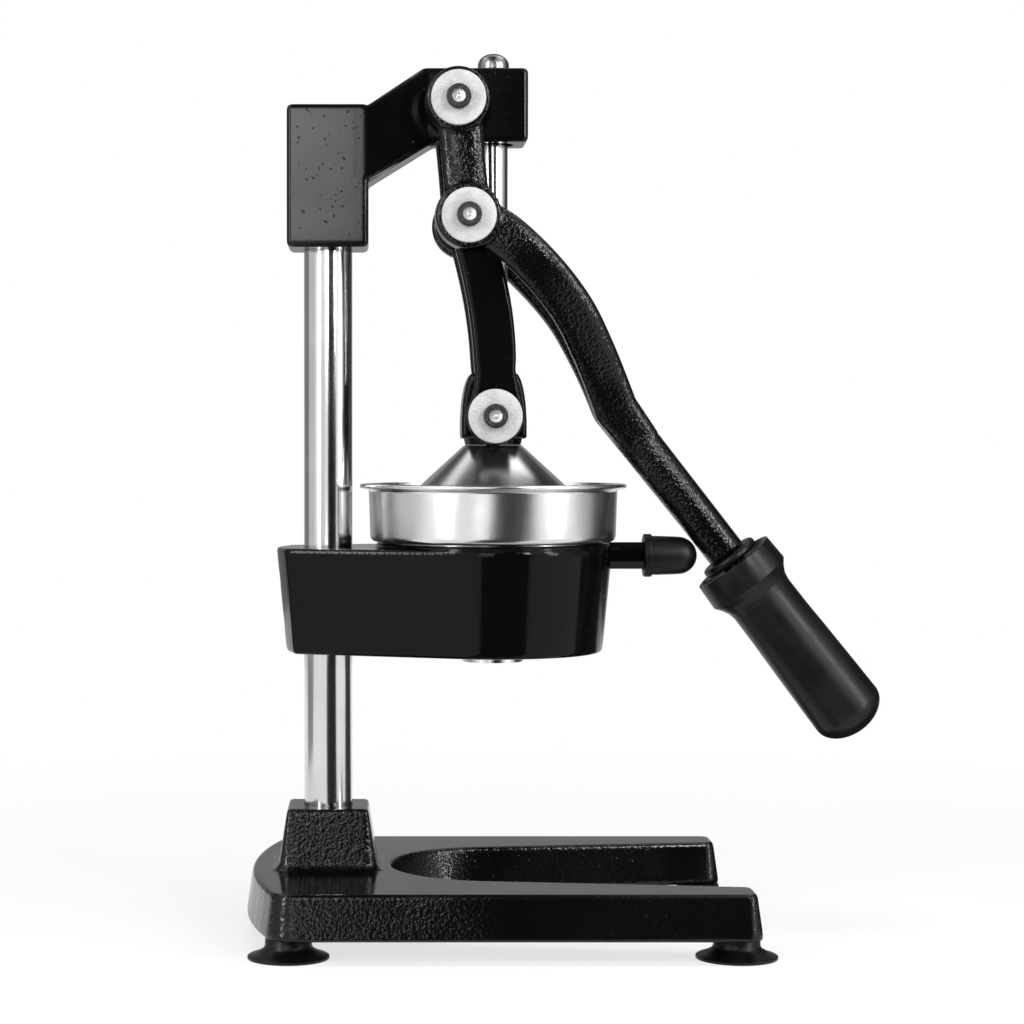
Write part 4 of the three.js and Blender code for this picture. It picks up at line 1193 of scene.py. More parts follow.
@dataclass
class Carrier(SubAssembly):
    """Cast bowl carrier with its stop bar, and the rubber cap."""

    floor: float = 129.7
    top: float = 178.4
    foot_edge: float = 1.2
    top_edge: float = 1.0
    top_inward: float = 0.7
    bowl_radius: float = 55.4
    draft: float = 4.5
    wall: float = 4.0
    bowl_floor: float = 5.0
    outlet: Span = (17.0, 100.0, 150.0)
    rear: float = 24.0
    rear_half: float = 23.0
    rear_sag: float = 4.7
    rear_swell: float = 1.3
    rear_round: float = 3.5
    rear_shares: tuple[float, ...] = (0.6, 0.3, 0.0, -0.3, -0.6)
    lip: Point2 = (51.6, 54.4)
    lip_height: float = 2.0
    lip_root: float = 3.0
    bore: Point2 = (100.0, 200.0)
    grub_hole: Point2 = (6.0, 30.0)
    grub_heights: Point2 = (144.1, 164.1)
    bar_height: float = 174.3
    bar_across: float = 12.3
    bar_insertion: float = 15.5
    cap_clearance: float = 0.2
    cap_mouth: float = 0.05
    flange_radius: float = 10.0
    flange_length: float = 3.6
    cap_radii: Span = (9.1, 8.8, 8.7)
    cap_bends: Span = (6.0, 15.0, 16.2)
    cap_depth: float = 16.4
    cap_length: float = 24.9

    @property
    def bar_radius(self) -> float:
        """The eight-sided stop bar's radius over its corners."""
        return self.bar_across / 2 / math.cos(math.pi / 8)

    def outline(self) -> list[Point2]:
        """The carrier's outline at its top."""
        apart = GUIDE_X + self.rear - self.rear_sag
        tangent = math.degrees(math.acos((self.bowl_radius - self.rear_half) / apart))
        bowl = arc(GUIDE_X, 0, self.bowl_radius, tangent - 180, 180 - tangent, 72)
        corner = self.rear_sag - self.rear
        sag = self.rear_sag * self.rear_swell
        back = [(sag * s * s - self.rear, self.rear_half * s) for s in self.rear_shares]
        left, right = ((corner, half, self.rear_round) for half in (self.rear_half, -self.rear_half))
        return softened([*bowl, left, *back, right])

    def build(self) -> None:
        """Makes the carrier and the cap."""
        low = [(self.floor, self.draft + self.foot_edge), (self.floor + self.foot_edge, self.draft)]
        high = [(self.top - self.top_edge, 0), (self.top, self.top_inward)]
        piece = Form().plate(self.outline(), [*low, *high]).piece("carrier_shell")
        inner = self.bowl_radius - self.wall
        bottom, above = self.floor + self.bowl_floor, self.top + self.bowl_floor
        hollow = [(0, bottom), (inner - self.draft, bottom), (inner, above), (0, above)]
        bowl = Form().lathe(hollow, GUIDE_FOOT).piece("hollow")
        cut(piece, bowl, drill("outlet", self.outlet, GUIDE_FOOT))
        root, rim = self.top - self.lip_root, self.top + self.lip_height
        near, far = self.lip
        ring = softened([(near, root), (far, root), (far, rim, 0.8), (near, rim, 0.5)])
        add_to(piece, Form().lathe([*ring, ring[0]], GUIDE_FOOT).piece("lip"))
        cast(piece, grain=0.7, rounds=8)
        cut(piece, drill("bore", (COLUMN_BORE, *self.bore)), *grub_holes(self.grub_heights, self.grub_hole))
        start = GUIDE_X + self.bowl_radius - self.wall / 2
        mouth = (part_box("stop_cap")[0].x - COLUMN_X) * PER_METRE
        length = mouth + self.bar_insertion - start
        stop = Form().prism(8, self.bar_radius, (0, length), (start, 0, self.bar_height), (1, 0, 0), 22.5)
        add_to(piece, stop.piece("stop_bar", 20))
        self.dress(piece, "smooth_cast", Slot.CASTING, Body.FRAME, "bowl_carrier")
        self.cap(mouth)

    def cap(self, mouth: float) -> None:
        """Makes the rubber cap.

        Args:
            mouth: X of its open end.
        """
        bore, start, wide = self.bar_radius + self.cap_clearance, self.cap_mouth, self.flange_radius
        collar = [(bore, start), (wide, start, 0.5), (wide, self.flange_length, 0.5)]
        flange = softened([*collar, (self.cap_radii[0], self.flange_length + 0.3, 0.3)], closed=False)
        body = list(zip(self.cap_radii[:2], self.cap_bends[:2]))
        dome = arc(0, self.cap_bends[2], self.cap_radii[2], 0, 90, 14)[:-1]
        end = [(0, self.cap_length), (0, self.cap_depth), (bore, self.cap_depth)]
        profile = [*flange, *body, *dome, *end, flange[0]]
        piece = Form().lathe(profile, (mouth, 0, self.bar_height), (1, 0, 0), 72)
        self.dress(piece.piece("rubber_cap", 40), "soft_rubber", Slot.RUBBER, Body.FRAME, "stop_cap")


@dataclass
class CupSet(SubAssembly):
    """Pressed steel juice cup and its slotted strainer.

    The funnel's outside runs up from the spout's mouth, and its inside comes back down, as (radius, height)
    points.
    """

    seat: float = 180.85
    rim_top: float = 207.7
    rim_radius: float = 61.9
    rim_flare: float = 1.2
    rim_bend: float = 1.6
    bead: float = 1.1
    drum: float = 57.7
    heel: float = 57.0
    heel_round: float = 3.0
    step: float = 49.0
    step_inside: Point2 = (47.6, 178.0)
    sheet: float = 1.2
    crease: float = 40.0
    spout: tuple[Point2, ...] = ((14.0, 125.2), (14.0, 134.6), (18.5, 137.8))
    funnel: tuple[Point2, ...] = ((43.0, 155.8), (48.2, 173.0), (49.0, 178.4))
    funnel_inside: tuple[Point2, ...] = ((47.0, 173.0), (41.8, 156.8), (18.0, 139.2))
    spout_inside: tuple[Point2, ...] = ((12.8, 135.8), (12.8, 125.2))
    strainer_floor: float = 182.35
    strainer_lift: float = 0.05
    strainer_radius: float = 53.3
    dome_radius: float = 35.0
    dome_height: float = 27.6
    dome_shares: tuple[float, ...] = (0, 0.12, 0.25, 0.38, 0.5, 0.62, 0.74, 0.84, 0.92, 0.97)
    slots: int = 12
    slot_start: float = 14.0
    slot_end: float = 30.0
    slot_half: float = 1.2
    slot_depth: Point2 = (-2.0, 40.0)
    hole: Span = (1.8, -2.0, 4.0)
    hole_ring: float = 44.2

    def build(self) -> None:
        """Makes the cup and the strainer."""
        sheet, heel, drum, bead, bend = self.sheet, self.heel, self.drum, self.bead, self.heel_round
        base = self.rim_top - 2 * bead - self.rim_bend
        heel_height = self.seat + bend
        outer = [
            *self.spout,
            *self.funnel,
            (self.step, self.seat),
            *arc(heel - bend, heel_height, bend, -90, 0, 8),
            (drum - 0.05, base),
            *arc(drum + self.rim_flare, base, self.rim_flare, 180, 90, 5),
            *arc(self.rim_radius - bead, self.rim_top - bead, bead, -90, 90, 12),
            (drum + 0.4, self.rim_top),
        ]
        inner = [
            (drum - sheet, self.rim_top - self.rim_bend),
            (heel - sheet, heel_height + sheet),
            *arc(heel - bend, heel_height, bend - sheet, 0, -90, 6),
            (self.step_inside[0], self.seat + sheet),
            self.step_inside,
            *self.funnel_inside,
            *self.spout_inside,
        ]
        form = Form().lathe([*outer, *inner, outer[0]], GUIDE_FOOT, steps=160)
        cup = form.piece("cup_pressing", self.crease)
        self.dress(cup, "brushed_cup", Slot.BRUSHED, Body.FRAME, "juice_cup")
        self.strainer()

    def strainer(self) -> None:
        """Makes the slotted dome."""
        floor, sheet, top = self.strainer_floor, self.sheet, self.dome_height
        foot = floor + self.strainer_lift
        dome = []
        for share in self.dome_shares:
            rise = top * math.sin(share * math.pi / 2) ** 0.9
            dome.append((self.dome_radius * (1 - share) ** 0.75, floor + sheet + rise))
        rim = [(self.strainer_radius, foot), (self.strainer_radius, floor + sheet)]
        outer = [*rim, *dome, (0, floor + sheet + top + 0.1)]
        under = [(max(radius - sheet, 0.5), height - sheet) for radius, height in reversed(dome)]
        inner = [(0, floor + top), *under[:-1], (self.dome_radius - sheet, foot)]
        piece = Form().lathe([*outer, *inner, outer[0]], GUIDE_FOOT).piece("strainer_dome", self.crease)
        cut(piece, self.openings(floor).piece("slots"), crease=self.crease)
        self.dress(piece, "brushed_cup", Slot.BRUSHED, Body.FRAME, "strainer")

    def openings(self, floor: float) -> Form:
        """Cutters for the strainer's slots and holes.

        Args:
            floor: the strainer's floor.

        Returns:
            The form.
        """
        made = Form()
        corners = [(self.slot_start, -1), (self.slot_end, -1), (self.slot_end, 1), (self.slot_start, 1)]
        ends = [floor + depth for depth in self.slot_depth]
        radius, low, high = self.hole
        pitch = 360 / self.slots
        for k in range(self.slots):
            turn = Matrix.Rotation(math.radians(pitch * k), 3, "Z")
            spots = [turn @ Vector((x, side * self.slot_half, 0)) for x, side in corners]
            made.rings([[spot + Vector((GUIDE_X, 0, z)) for spot in spots] for z in ends])
            spot = turn @ Matrix.Rotation(math.radians(pitch / 2), 3, "Z") @ Vector((self.hole_ring, 0, 0))
            made.lathe(bar(radius, floor + low, floor + high), (GUIDE_X + spot.x, spot.y, 0), steps=24)
        return made


@dataclass
class Ram(SubAssembly):
    """Press cone, ram block, guide rod and its cap.

    Each point of the block's flank is half its width, a height over its floor and, where it has one, a
    rounding. Each edge is a distance from a face and how far the outline is drawn in there.
    """

    cone_top: float = 225.6
    cone_radius: float = 13.3
    skirt_radius: float = 41.9
    skirt_foot: float = 190.6
    shoulder: float = 199.5
    wall: float = 2.5
    crown: float = 4.0
    crown_radius: float = 12.4
    screw_sunk: float = 4.3
    block_floor: float = 228.6
    block_half: float = 14.5
    flank: tuple[tuple[float, ...], ...] = (
        (15.0, 0.0, 1.0),
        (15.0, 8.0),
        (14.6, 15.2),
        (14.0, 20.0),
        (13.2, 24.0),
        (12.2, 27.2),
        (10.7, 30.2, 2.2),
    )
    edges: tuple[Point2, ...] = ((0.0, 1.6), (0.6, 0.6), (1.6, 0.0))
    neck: Point2 = (12.9, 13.8)
    neck_seat: float = 0.06
    pin_reach: float = 30.0
    rod_radius: float = 6.7
    rod_low: float = 259.1
    rod_high: float = 398.7
    knob_radius: float = 7.25
    knob_foot: Point2 = (6.9, 399.05)
    knob_waist: Point2 = (399.4, 401.1)
    knob_dome: float = 5.5

    def build(self) -> None:
        """Makes the ram's pieces."""
        self.cone()
        self.block()
        radius, low, high = self.rod_radius, self.rod_low, self.rod_high
        end = softened([(radius, low), (radius, high, 0.4), (0, high)], closed=False)
        rod = [(0, low), (radius, low), *end[1:]]
        piece = Form().lathe(rod, GUIDE_FOOT).piece("rod_bar")
        self.dress(piece, "polished_rod", Slot.POLISHED, Body.RAM, "guide_rod")
        self.knob()
        self.paint("ram_pin")

    def knob(self) -> None:
        """Makes the domed cap on the rod."""
        low, high = self.knob_waist
        angles = [math.radians(a) for a in range(0, 90, 6)]
        dome = [(self.knob_radius * math.cos(a), high + self.knob_dome * math.sin(a)) for a in angles]
        foot = [(0, self.knob_foot[1]), self.knob_foot, (self.knob_radius, low)]
        knob = Form().lathe([*foot, *dome, (0, high + self.knob_dome)], GUIDE_FOOT).piece("rod_knob", 40)
        self.dress(knob, "satin_knob", Slot.POLISHED, Body.RAM, "guide_rod_cap")

    def cone(self) -> None:
        """Makes the press cone and its screw."""
        top, skirt, foot = self.cone_top, self.skirt_radius, self.skirt_foot
        outer = softened(
            [(0, top), (self.cone_radius, top, 0.8), (skirt, self.shoulder, 5), (skirt, foot)],
            steps=8,
            closed=False,
        )
        under, hollow = top - self.crown, skirt - self.wall
        inner = softened(
            [(hollow, foot), (hollow, self.shoulder - 1.2, 4), (self.crown_radius, under, 2), (0, under)],
            steps=6,
            closed=False,
        )
        piece = Form().lathe([*outer, *inner], GUIDE_FOOT, steps=128).piece("cone_bell", 40)
        self.dress(piece, "satin_cone", Slot.ALUMINIUM, Body.RAM, "press_cone")
        screw = ScrewHead().form((GUIDE_X, 0, top - self.screw_sunk), (0, 0, -1)).piece("cone_screw_head", 25)
        self.dress(screw, "dark_screw", Slot.SCREW, Body.RAM, "cone_screw")

    def block(self) -> None:
        """Makes the ram block with its neck."""
        floor, half = self.block_floor, self.block_half
        right = [(x, floor + height, *rounding) for x, height, *rounding in self.flank]
        left = [(-x, *rest) for x, *rest in reversed(right)]
        outline = [(x + GUIDE_X, z) for x, z in softened([*right, *left])]
        near = [(depth - half, inward) for depth, inward in self.edges]
        far = [(half - depth, inward) for depth, inward in reversed(self.edges)]
        piece = cast(Form().standing(outline, [*near, *far]).piece("block_body"), grain=0.55, rounds=3)
        low, high = self.cone_top + self.neck_seat, floor + 1
        neck = [(0, low), (self.neck[0], low), (self.neck[1], high), (0, high)]
        add_to(piece, Form().lathe(neck, GUIDE_FOOT).piece("neck"))
        span = (PIN_BORE, -self.pin_reach, self.pin_reach)
        cut(piece, drill("cross", span, (RAM_PIN[0], 0, RAM_PIN[1]), (0, 1, 0), 64))
        self.dress(piece, "smooth_cast", Slot.CASTING, Body.RAM, "ram_block")


@dataclass
class ScrewHead:
    """Socket-head cap screw with a knurled rim."""

    radius: float = 5.6
    height: float = 4.45
    shank: float = 3.0
    length: float = 10.0
    apothem: float = 2.5
    socket: float = 2.95
    knurl: float = 0.11
    seat: float = 0.03

    def form(self, at: Sequence[float], axis: Sequence[float]) -> Form:
        """The screw, head outward along an axis.

        Args:
            at: the underside of its head.
            axis: the direction out of the head.

        Returns:
            The form.
        """
        radius, height, apothem, seat = self.radius, self.height, self.apothem, self.seat
        low = [(0, -self.length), (self.shank, -self.length), (self.shank, seat)]
        head = [(radius - 0.3, seat), (radius, 0.4), (radius, height - 0.9), (radius - 0.35, height - 0.25)]
        rim = [(radius - 0.8, height), (apothem + 0.75, height), (apothem + 0.35, height - 0.3)]
        well = [(apothem + 0.3, height - 1.9), (1.5, height - 2.0), (1.2, height - 1.5), (0.7, height - 1.15)]
        return Form().lathe([*low, *head, *rim, *well, (0, height - 1.0)], at, axis, flutes=self.knurl)

    def paint_socket_highlight(self, screw: bpy.types.Object, at: Sequence[float], axis: Sequence[float]) -> None:
        """Paints a light metal into the screw's socket, as a painted highlight at the screw's centre.

        Args:
            screw: the dressed screw.
            at: the underside of its head.
            axis: the direction out of the head.
        """
        # Painted highlight: the socket's faces get the light metal
        screw.data.materials.append(finish("painted_highlight_socket"))
        place = TO_ROW @ Vector(at)
        along = Vector(axis).normalized()
        for face in screw.data.polygons:
            offset = face.center - place
            height = offset.dot(along)
            if height > 0 and (offset - along * height).length < self.socket / PER_METRE:
                face.material_index = 1


@dataclass
class Pivots(SubAssembly):
    """The big washers and screws on the three pivots, both sides.

    Each place is a name, a pin, how far out its washer's seat is, and a body.
    """

    radius: float = 12.4
    thickness: float = 2.35
    bore: float = 3.3
    washer_gap: float = 0.32
    screw_gap: float = 3.02
    places: tuple[tuple[str, Point2, float, Body], ...] = (
        ("head_pivot", HEAD_PIVOT, 36.4, Body.FRAME),
        ("yoke_pin", LINK_PIN, 36.4, Body.LEVER),
        ("ram_pin", RAM_PIN, 23.8, Body.RAM),
    )

    def build(self) -> None:
        """Makes the six washers and screws."""
        bore, radius, thickness = self.bore, self.radius, self.thickness
        corners = [(bore, 0, 0.2), (radius, 0, 0.4), (radius, thickness, 0.7), (bore, thickness, 0.3)]
        edge = softened(corners, steps=4)
        for prefix, (x, z), face, body in self.places:
            for side in Side:
                seat = (x, side.value * (face + self.washer_gap), z)
                ring = Form().lathe([*edge, edge[0]], seat, side.outward)
                disc = ring.piece(f"{prefix}_disc_{side.word}", 50)
                self.dress(disc, "matte_washer", Slot.WASHER, body, f"{prefix}_washer_{side.word}")
                under = (x, side.value * (face + self.screw_gap), z)
                head = ScrewHead()
                screw = head.form(under, side.outward).piece(f"{prefix}_bolt_{side.word}", 25)
                self.dress(screw, "dark_screw", Slot.SCREW, body, f"{prefix}_screw_{side.word}")
                head.paint_socket_highlight(screw, under, side.outward)


@dataclass
class LinkPair(SubAssembly):
    """The two curved links.

    Each edge is a distance from a face and how far the outline is drawn in there.
    """

    inner: float = 15.2
    outer: float = 23.8
    seat: float = 0.05
    half_width: float = 9.25
    bow: float = 4.5
    waist: float = 0.6
    eyes: tuple[tuple[Point2, float], ...] = ((RAM_PIN, 13.3), (LINK_PIN, 13.9))
    flare: float = 3.3
    flare_start: float = 0.06
    flare_share: float = 0.24
    steps: int = 32
    inner_edges: tuple[Point2, ...] = ((0.0, 1.0), (1.0, 0.0))
    outer_edges: tuple[Point2, ...] = ((1.5, 0.0), (0.4, 0.8), (0.0, 1.9))
    bore: Point2 = (10.0, 30.0)

    def outline(self) -> list[Point2]:
        """The side outline of a link's body."""
        start, end = Vector(RAM_PIN), Vector(LINK_PIN)
        chord = end - start
        across = Vector((chord.y, -chord.x)).normalized()
        shares = [k / self.steps for k in range(self.steps + 1)]
        edges = []
        for half, order in ((self.half_width, shares), (-self.half_width, shares[::-1])):
            for share in order:
                waist = self.waist * math.sin(math.pi * share)
                past = max(0.0, share - self.flare_start) / self.flare_share
                flare = self.flare * max(0.0, 1 - past) ** 2
                edge = half + math.copysign(flare - waist, half)
                point = start + chord * share + across * (self.bow * math.sin(math.pi * share) + edge)
                edges.append((point.x, point.y))
        return edges

    def build(self) -> None:
        """Makes both links."""
        inner, outer = self.inner + self.seat, self.outer - self.seat
        levels = [(inner + depth, inward) for depth, inward in self.inner_edges]
        levels += [(outer - depth, inward) for depth, inward in self.outer_edges]
        for side in Side:
            form = Form().standing(self.outline(), [(side.value * y, inward) for y, inward in levels])
            for (x, z), radius in self.eyes:
                rim = [(radius, inner, 0.8), (radius, outer, 1.3)]
                eye = softened([(0, inner), *rim, (0, outer)], closed=False)
                form.lathe(eye, (x, 0, z), side.outward)
            piece = cast(form.piece("link_bar_" + side.word), grain=0.5, rounds=4)
            for (x, z), _ in self.eyes:
                cut(piece, drill("bore", (PIN_BORE, *self.bore), (x, 0, z), side.outward, 64))
            self.dress(piece, "smooth_cast", Slot.CASTING, Body.LINKS, "link_" + side.word)
            self.paint("link_stub_" + side.word)


@dataclass(frozen=True)
class Station:
    """One section of a swept bar: its middle, half its width and half its thickness."""

    point: Vector
    wide: float
    thick: float


@dataclass
class Lever(SubAssembly):
    """Forked lever casting with its shaft, the ring and the grip.

    The shares give each arm's reach, drop, distance from the middle, width and thickness, from its crank to
    the kink. A hub is a pin, a radius and a flare at its root. The grip's points are (radius, length) and,
    where they have one, a rounding.
    """

    inner: float = 24.4
    outer: float = 36.4
    reach: float = 69.0
    drop: float = 86.5
    reach_shares: tuple[float, ...] = (0, 0.2, 0.38, 0.56, 0.715, 0.84, 0.93, 1)
    drop_shares: tuple[float, ...] = (0, 0.075, 0.195, 0.345, 0.51, 0.7, 0.86, 1)
    spread_shares: tuple[float, ...] = (1, 1, 0.98, 0.87, 0.68, 0.45, 0.26, 0.13)
    width_shares: tuple[float, ...] = (1, 1, 1, 1, 1, 1, 1.01, 1.03)
    thickness_shares: tuple[float, ...] = (0.9, 1, 1, 1, 1.02, 1.06, 1.14, 1.3)
    half_width: float = 10.0
    half_thickness: float = 5.5
    steps: int = 6
    fade_length: float = 20.0
    fade_slimmer: float = 1.1
    fade_thicker: float = 1.2
    hubs: tuple[tuple[Point2, float, float], ...] = ((HEAD_PIVOT, 14.3, 0.9), (LINK_PIN, 14.9, 0.5))
    hub_web: Span = (10.4, 0.5, 4.8)
    hub_web_depth: float = 4.9
    shaft_radius: float = 9.05
    shaft_length: float = 85.3
    shaft_angle: float = 37.8
    shaft_steps: int = 24
    web_depth: float = 1.5
    web_length: float = 66.0
    tang: Span = (6.0, -5.0, 77.0)
    tang_bore: float = 6.4
    pin_reach: float = 45.0
    ring_radius: float = 13.9
    ring_ends: Point2 = (0.3, 4.2)
    grip_start: float = 4.6
    grip_mouth: Point2 = (2.6, 73.5)
    dish: tuple[tuple[float, ...], ...] = (
        (14.6, 2.2),
        (16.6, 1.9, 0.8),
        (17.7, 0.15, 0.9),
        (19.6, 0.15, 0.4),
    )
    collar: tuple[tuple[float, ...], ...] = (
        (20.15, 12.4, 0.6),
        (17.9, 15.4, 2.0),
        (16.2, 18.6, 3.0),
        (15.6, 22.0, 3.0),
        (15.6, 26.0),
    )
    belly: tuple[Point2, ...] = ((15.7, 36.0), (16.1, 48.0), (16.4, 60.0), (16.75, 74.0), (16.95, 84.0))
    tip: Span = (17.0, 86.9, 11.8)

    @property
    def kink(self) -> Vector:
        """Where the two arms have met and the shaft starts."""
        return Vector((LINK_PIN[0] + self.reach, 0, LINK_PIN[1] - self.drop))

    @property
    def along(self) -> Vector:
        """The shaft's direction, towards the grip."""
        angle = math.radians(self.shaft_angle)
        return Vector((math.sin(angle), 0, -math.cos(angle)))

    def rough_arm(self, side: Side) -> list[tuple[float, ...]]:
        """The chosen stations of one arm, as X, Y, Z, half width and half thickness.

        Args:
            side: which arm.

        Returns:
            The stations.
        """
        middle = side.value * (self.inner + self.outer) / 2
        places = zip(self.reach_shares, self.spread_shares, self.drop_shares)
        sections = zip(self.width_shares, self.thickness_shares)
        made = []
        for (reach, spread, drop), (width, thickness) in zip(places, sections):
            x, z = LINK_PIN[0] + self.reach * reach, LINK_PIN[1] - self.drop * drop
            point = Vector((x, middle * spread, z))
            made.append((*point, self.half_width * width, self.half_thickness * thickness))
        return made

    def arm(self, side: Side) -> list[Station]:
        """Fine stations along one arm, which fades into the shaft.

        Args:
            side: which arm.

        Returns:
            The stations.
        """
        rough = self.rough_arm(side)
        last = len(rough) - 1
        fine = []
        for i in range(last):
            four = (rough[max(i - 1, 0)], rough[i], rough[i + 1], rough[min(i + 2, last)])
            for k in range(self.steps):
                fine.append([between(values, k / self.steps) for values in zip(*four)])
        fine.append(rough[-1])
        _, y, _, wide, thick = rough[-1]
        for k in range(1, self.steps + 1):
            share = k / self.steps
            x, _, z = self.kink + self.along * (self.fade_length * share)
            section = (wide - self.fade_slimmer * share, thick + self.fade_thicker * share)
            fine.append((x, y * (1 - share), z, *section))
        return [Station(Vector(values[:3]), values[3], values[4]) for values in fine]

    def shaft(self) -> list[Station]:
        """Stations along the shaft, which is deeper on its underside towards the fork."""
        angle = math.radians(self.shaft_angle)
        under = Vector((-math.cos(angle), 0, -math.sin(angle)))
        made = []
        for k in range(-1, self.shaft_steps + 1):
            run = self.shaft_length * k / self.shaft_steps
            extra = self.web_depth * max(0.0, 1 - max(run, 0.0) / self.web_length)
            ease = 1.0 if k >= 0 else 1 + 0.07 * k
            point = self.kink + self.along * run + under * (extra / 2)
            made.append(Station(point, (self.shaft_radius + extra / 2) * ease, self.shaft_radius * ease))
        return made

    def sweep(self, form: Form, stations: Sequence[Station], power: float = 0.62, sides: int = 40) -> None:
        """Adds a bar of rounded section along stations.

        Args:
            form: the form that it is added to.
            stations: the sections.
            power: how square the section is, smaller for squarer.
            sides: points to each section.
        """
        last = len(stations) - 1
        rings = []
        for i, station in enumerate(stations):
            run = (stations[min(i + 1, last)].point - stations[max(i - 1, 0)].point).normalized()
            across = Vector((0, 1, 0)).cross(run).normalized()
            deep = run.cross(across)
            ring = []
            for k in range(sides):
                angle = 2 * math.pi * k / sides
                c, s = math.cos(angle), math.sin(angle)
                wide = station.wide * math.copysign(abs(c) ** power, c)
                thick = station.thick * math.copysign(abs(s) ** power, s)
                ring.append(station.point + across * wide + deep * thick)
            rings.append(ring)
        form.rings(rings)

    def fork(self, form: Form, side: Side) -> None:
        """Adds one side of the fork: two hubs, the web between them and the arm.

        Args:
            form: the form that it is added to.
            side: which side.
        """
        inner, outer = self.inner, self.outer
        for (x, z), radius, flare in self.hubs:
            hub = softened(
                [(0, inner), (radius + flare, inner, 0.6), (radius, outer, 1.0), (0, outer)],
                closed=False,
            )
            form.lathe(hub, (x, 0, z), side.outward)
        depth = side.value * (inner + self.hub_web_depth)
        high, low = (Vector((x, depth, z)) for x, z in (HEAD_PIVOT, LINK_PIN))
        wide, waist, thick = self.hub_web
        web = []
        for k in range(self.steps + 1):
            slimmer = waist * math.sin(math.pi * k / self.steps)
            web.append(Station(high.lerp(low, k / self.steps), wide - slimmer, thick))
        self.sweep(form, web, 0.75)
        self.sweep(form, self.arm(side))

    def build(self) -> None:
        """Makes the lever, the ring and the grip."""
        form = Form()
        for side in Side:
            self.fork(form, side)
        self.sweep(form, self.shaft(), 0.92)
        radius, back, ahead = self.tang
        form.lathe(bar(radius, self.shaft_length + back, self.shaft_length + ahead), self.kink, self.along)
        piece = cast(form.piece("lever_casting"), grain=0.65, rounds=5)
        span = (PIN_BORE, -self.pin_reach, self.pin_reach)
        cut(piece, *(drill("bore", span, (x, 0, z), (0, 1, 0), 64) for x, z in (HEAD_PIVOT, LINK_PIN)))
        self.dress(piece, "rough_cast", Slot.CASTING, Body.LEVER, "lever_yoke")
        self.paint(*("yoke_pin_" + side.word for side in Side))
        self.handle()

    def handle(self) -> None:
        """Makes the ring and the grip."""
        end = self.kink + self.along * self.shaft_length
        bore, radius = self.tang_bore, self.ring_radius
        low, high = self.ring_ends
        corners = [(bore, low, 0.3), (radius, low, 1.6), (radius, high, 1.2), (bore, high, 0.3)]
        ring = softened(corners, steps=6)
        piece = Form().lathe([*ring, ring[0]], end, self.along).piece("ring_body", 45)
        self.dress(piece, "soft_rubber", Slot.RUBBER, Body.LEVER, "grip_ring")
        mouth, blind = self.grip_mouth
        flange = softened([(bore, mouth), *self.dish, *self.collar], steps=6, closed=False)
        wide, middle, length = self.tip
        angles = [math.radians(a) for a in range(0, 90, 6)]
        tip = [(wide * math.cos(a), middle + length * math.sin(a)) for a in angles]
        inside = [(0, middle + length), (0, blind), (bore, blind), (bore, mouth)]
        start = end + self.along * self.grip_start
        profile = [*flange, *self.belly, *tip, *inside]
        grip = Form().lathe(profile, start, self.along, 112).piece("grip_body", 45)
        self.dress(grip, "grip_plastic", Slot.PLASTIC, Body.LEVER, "grip")


# Studio


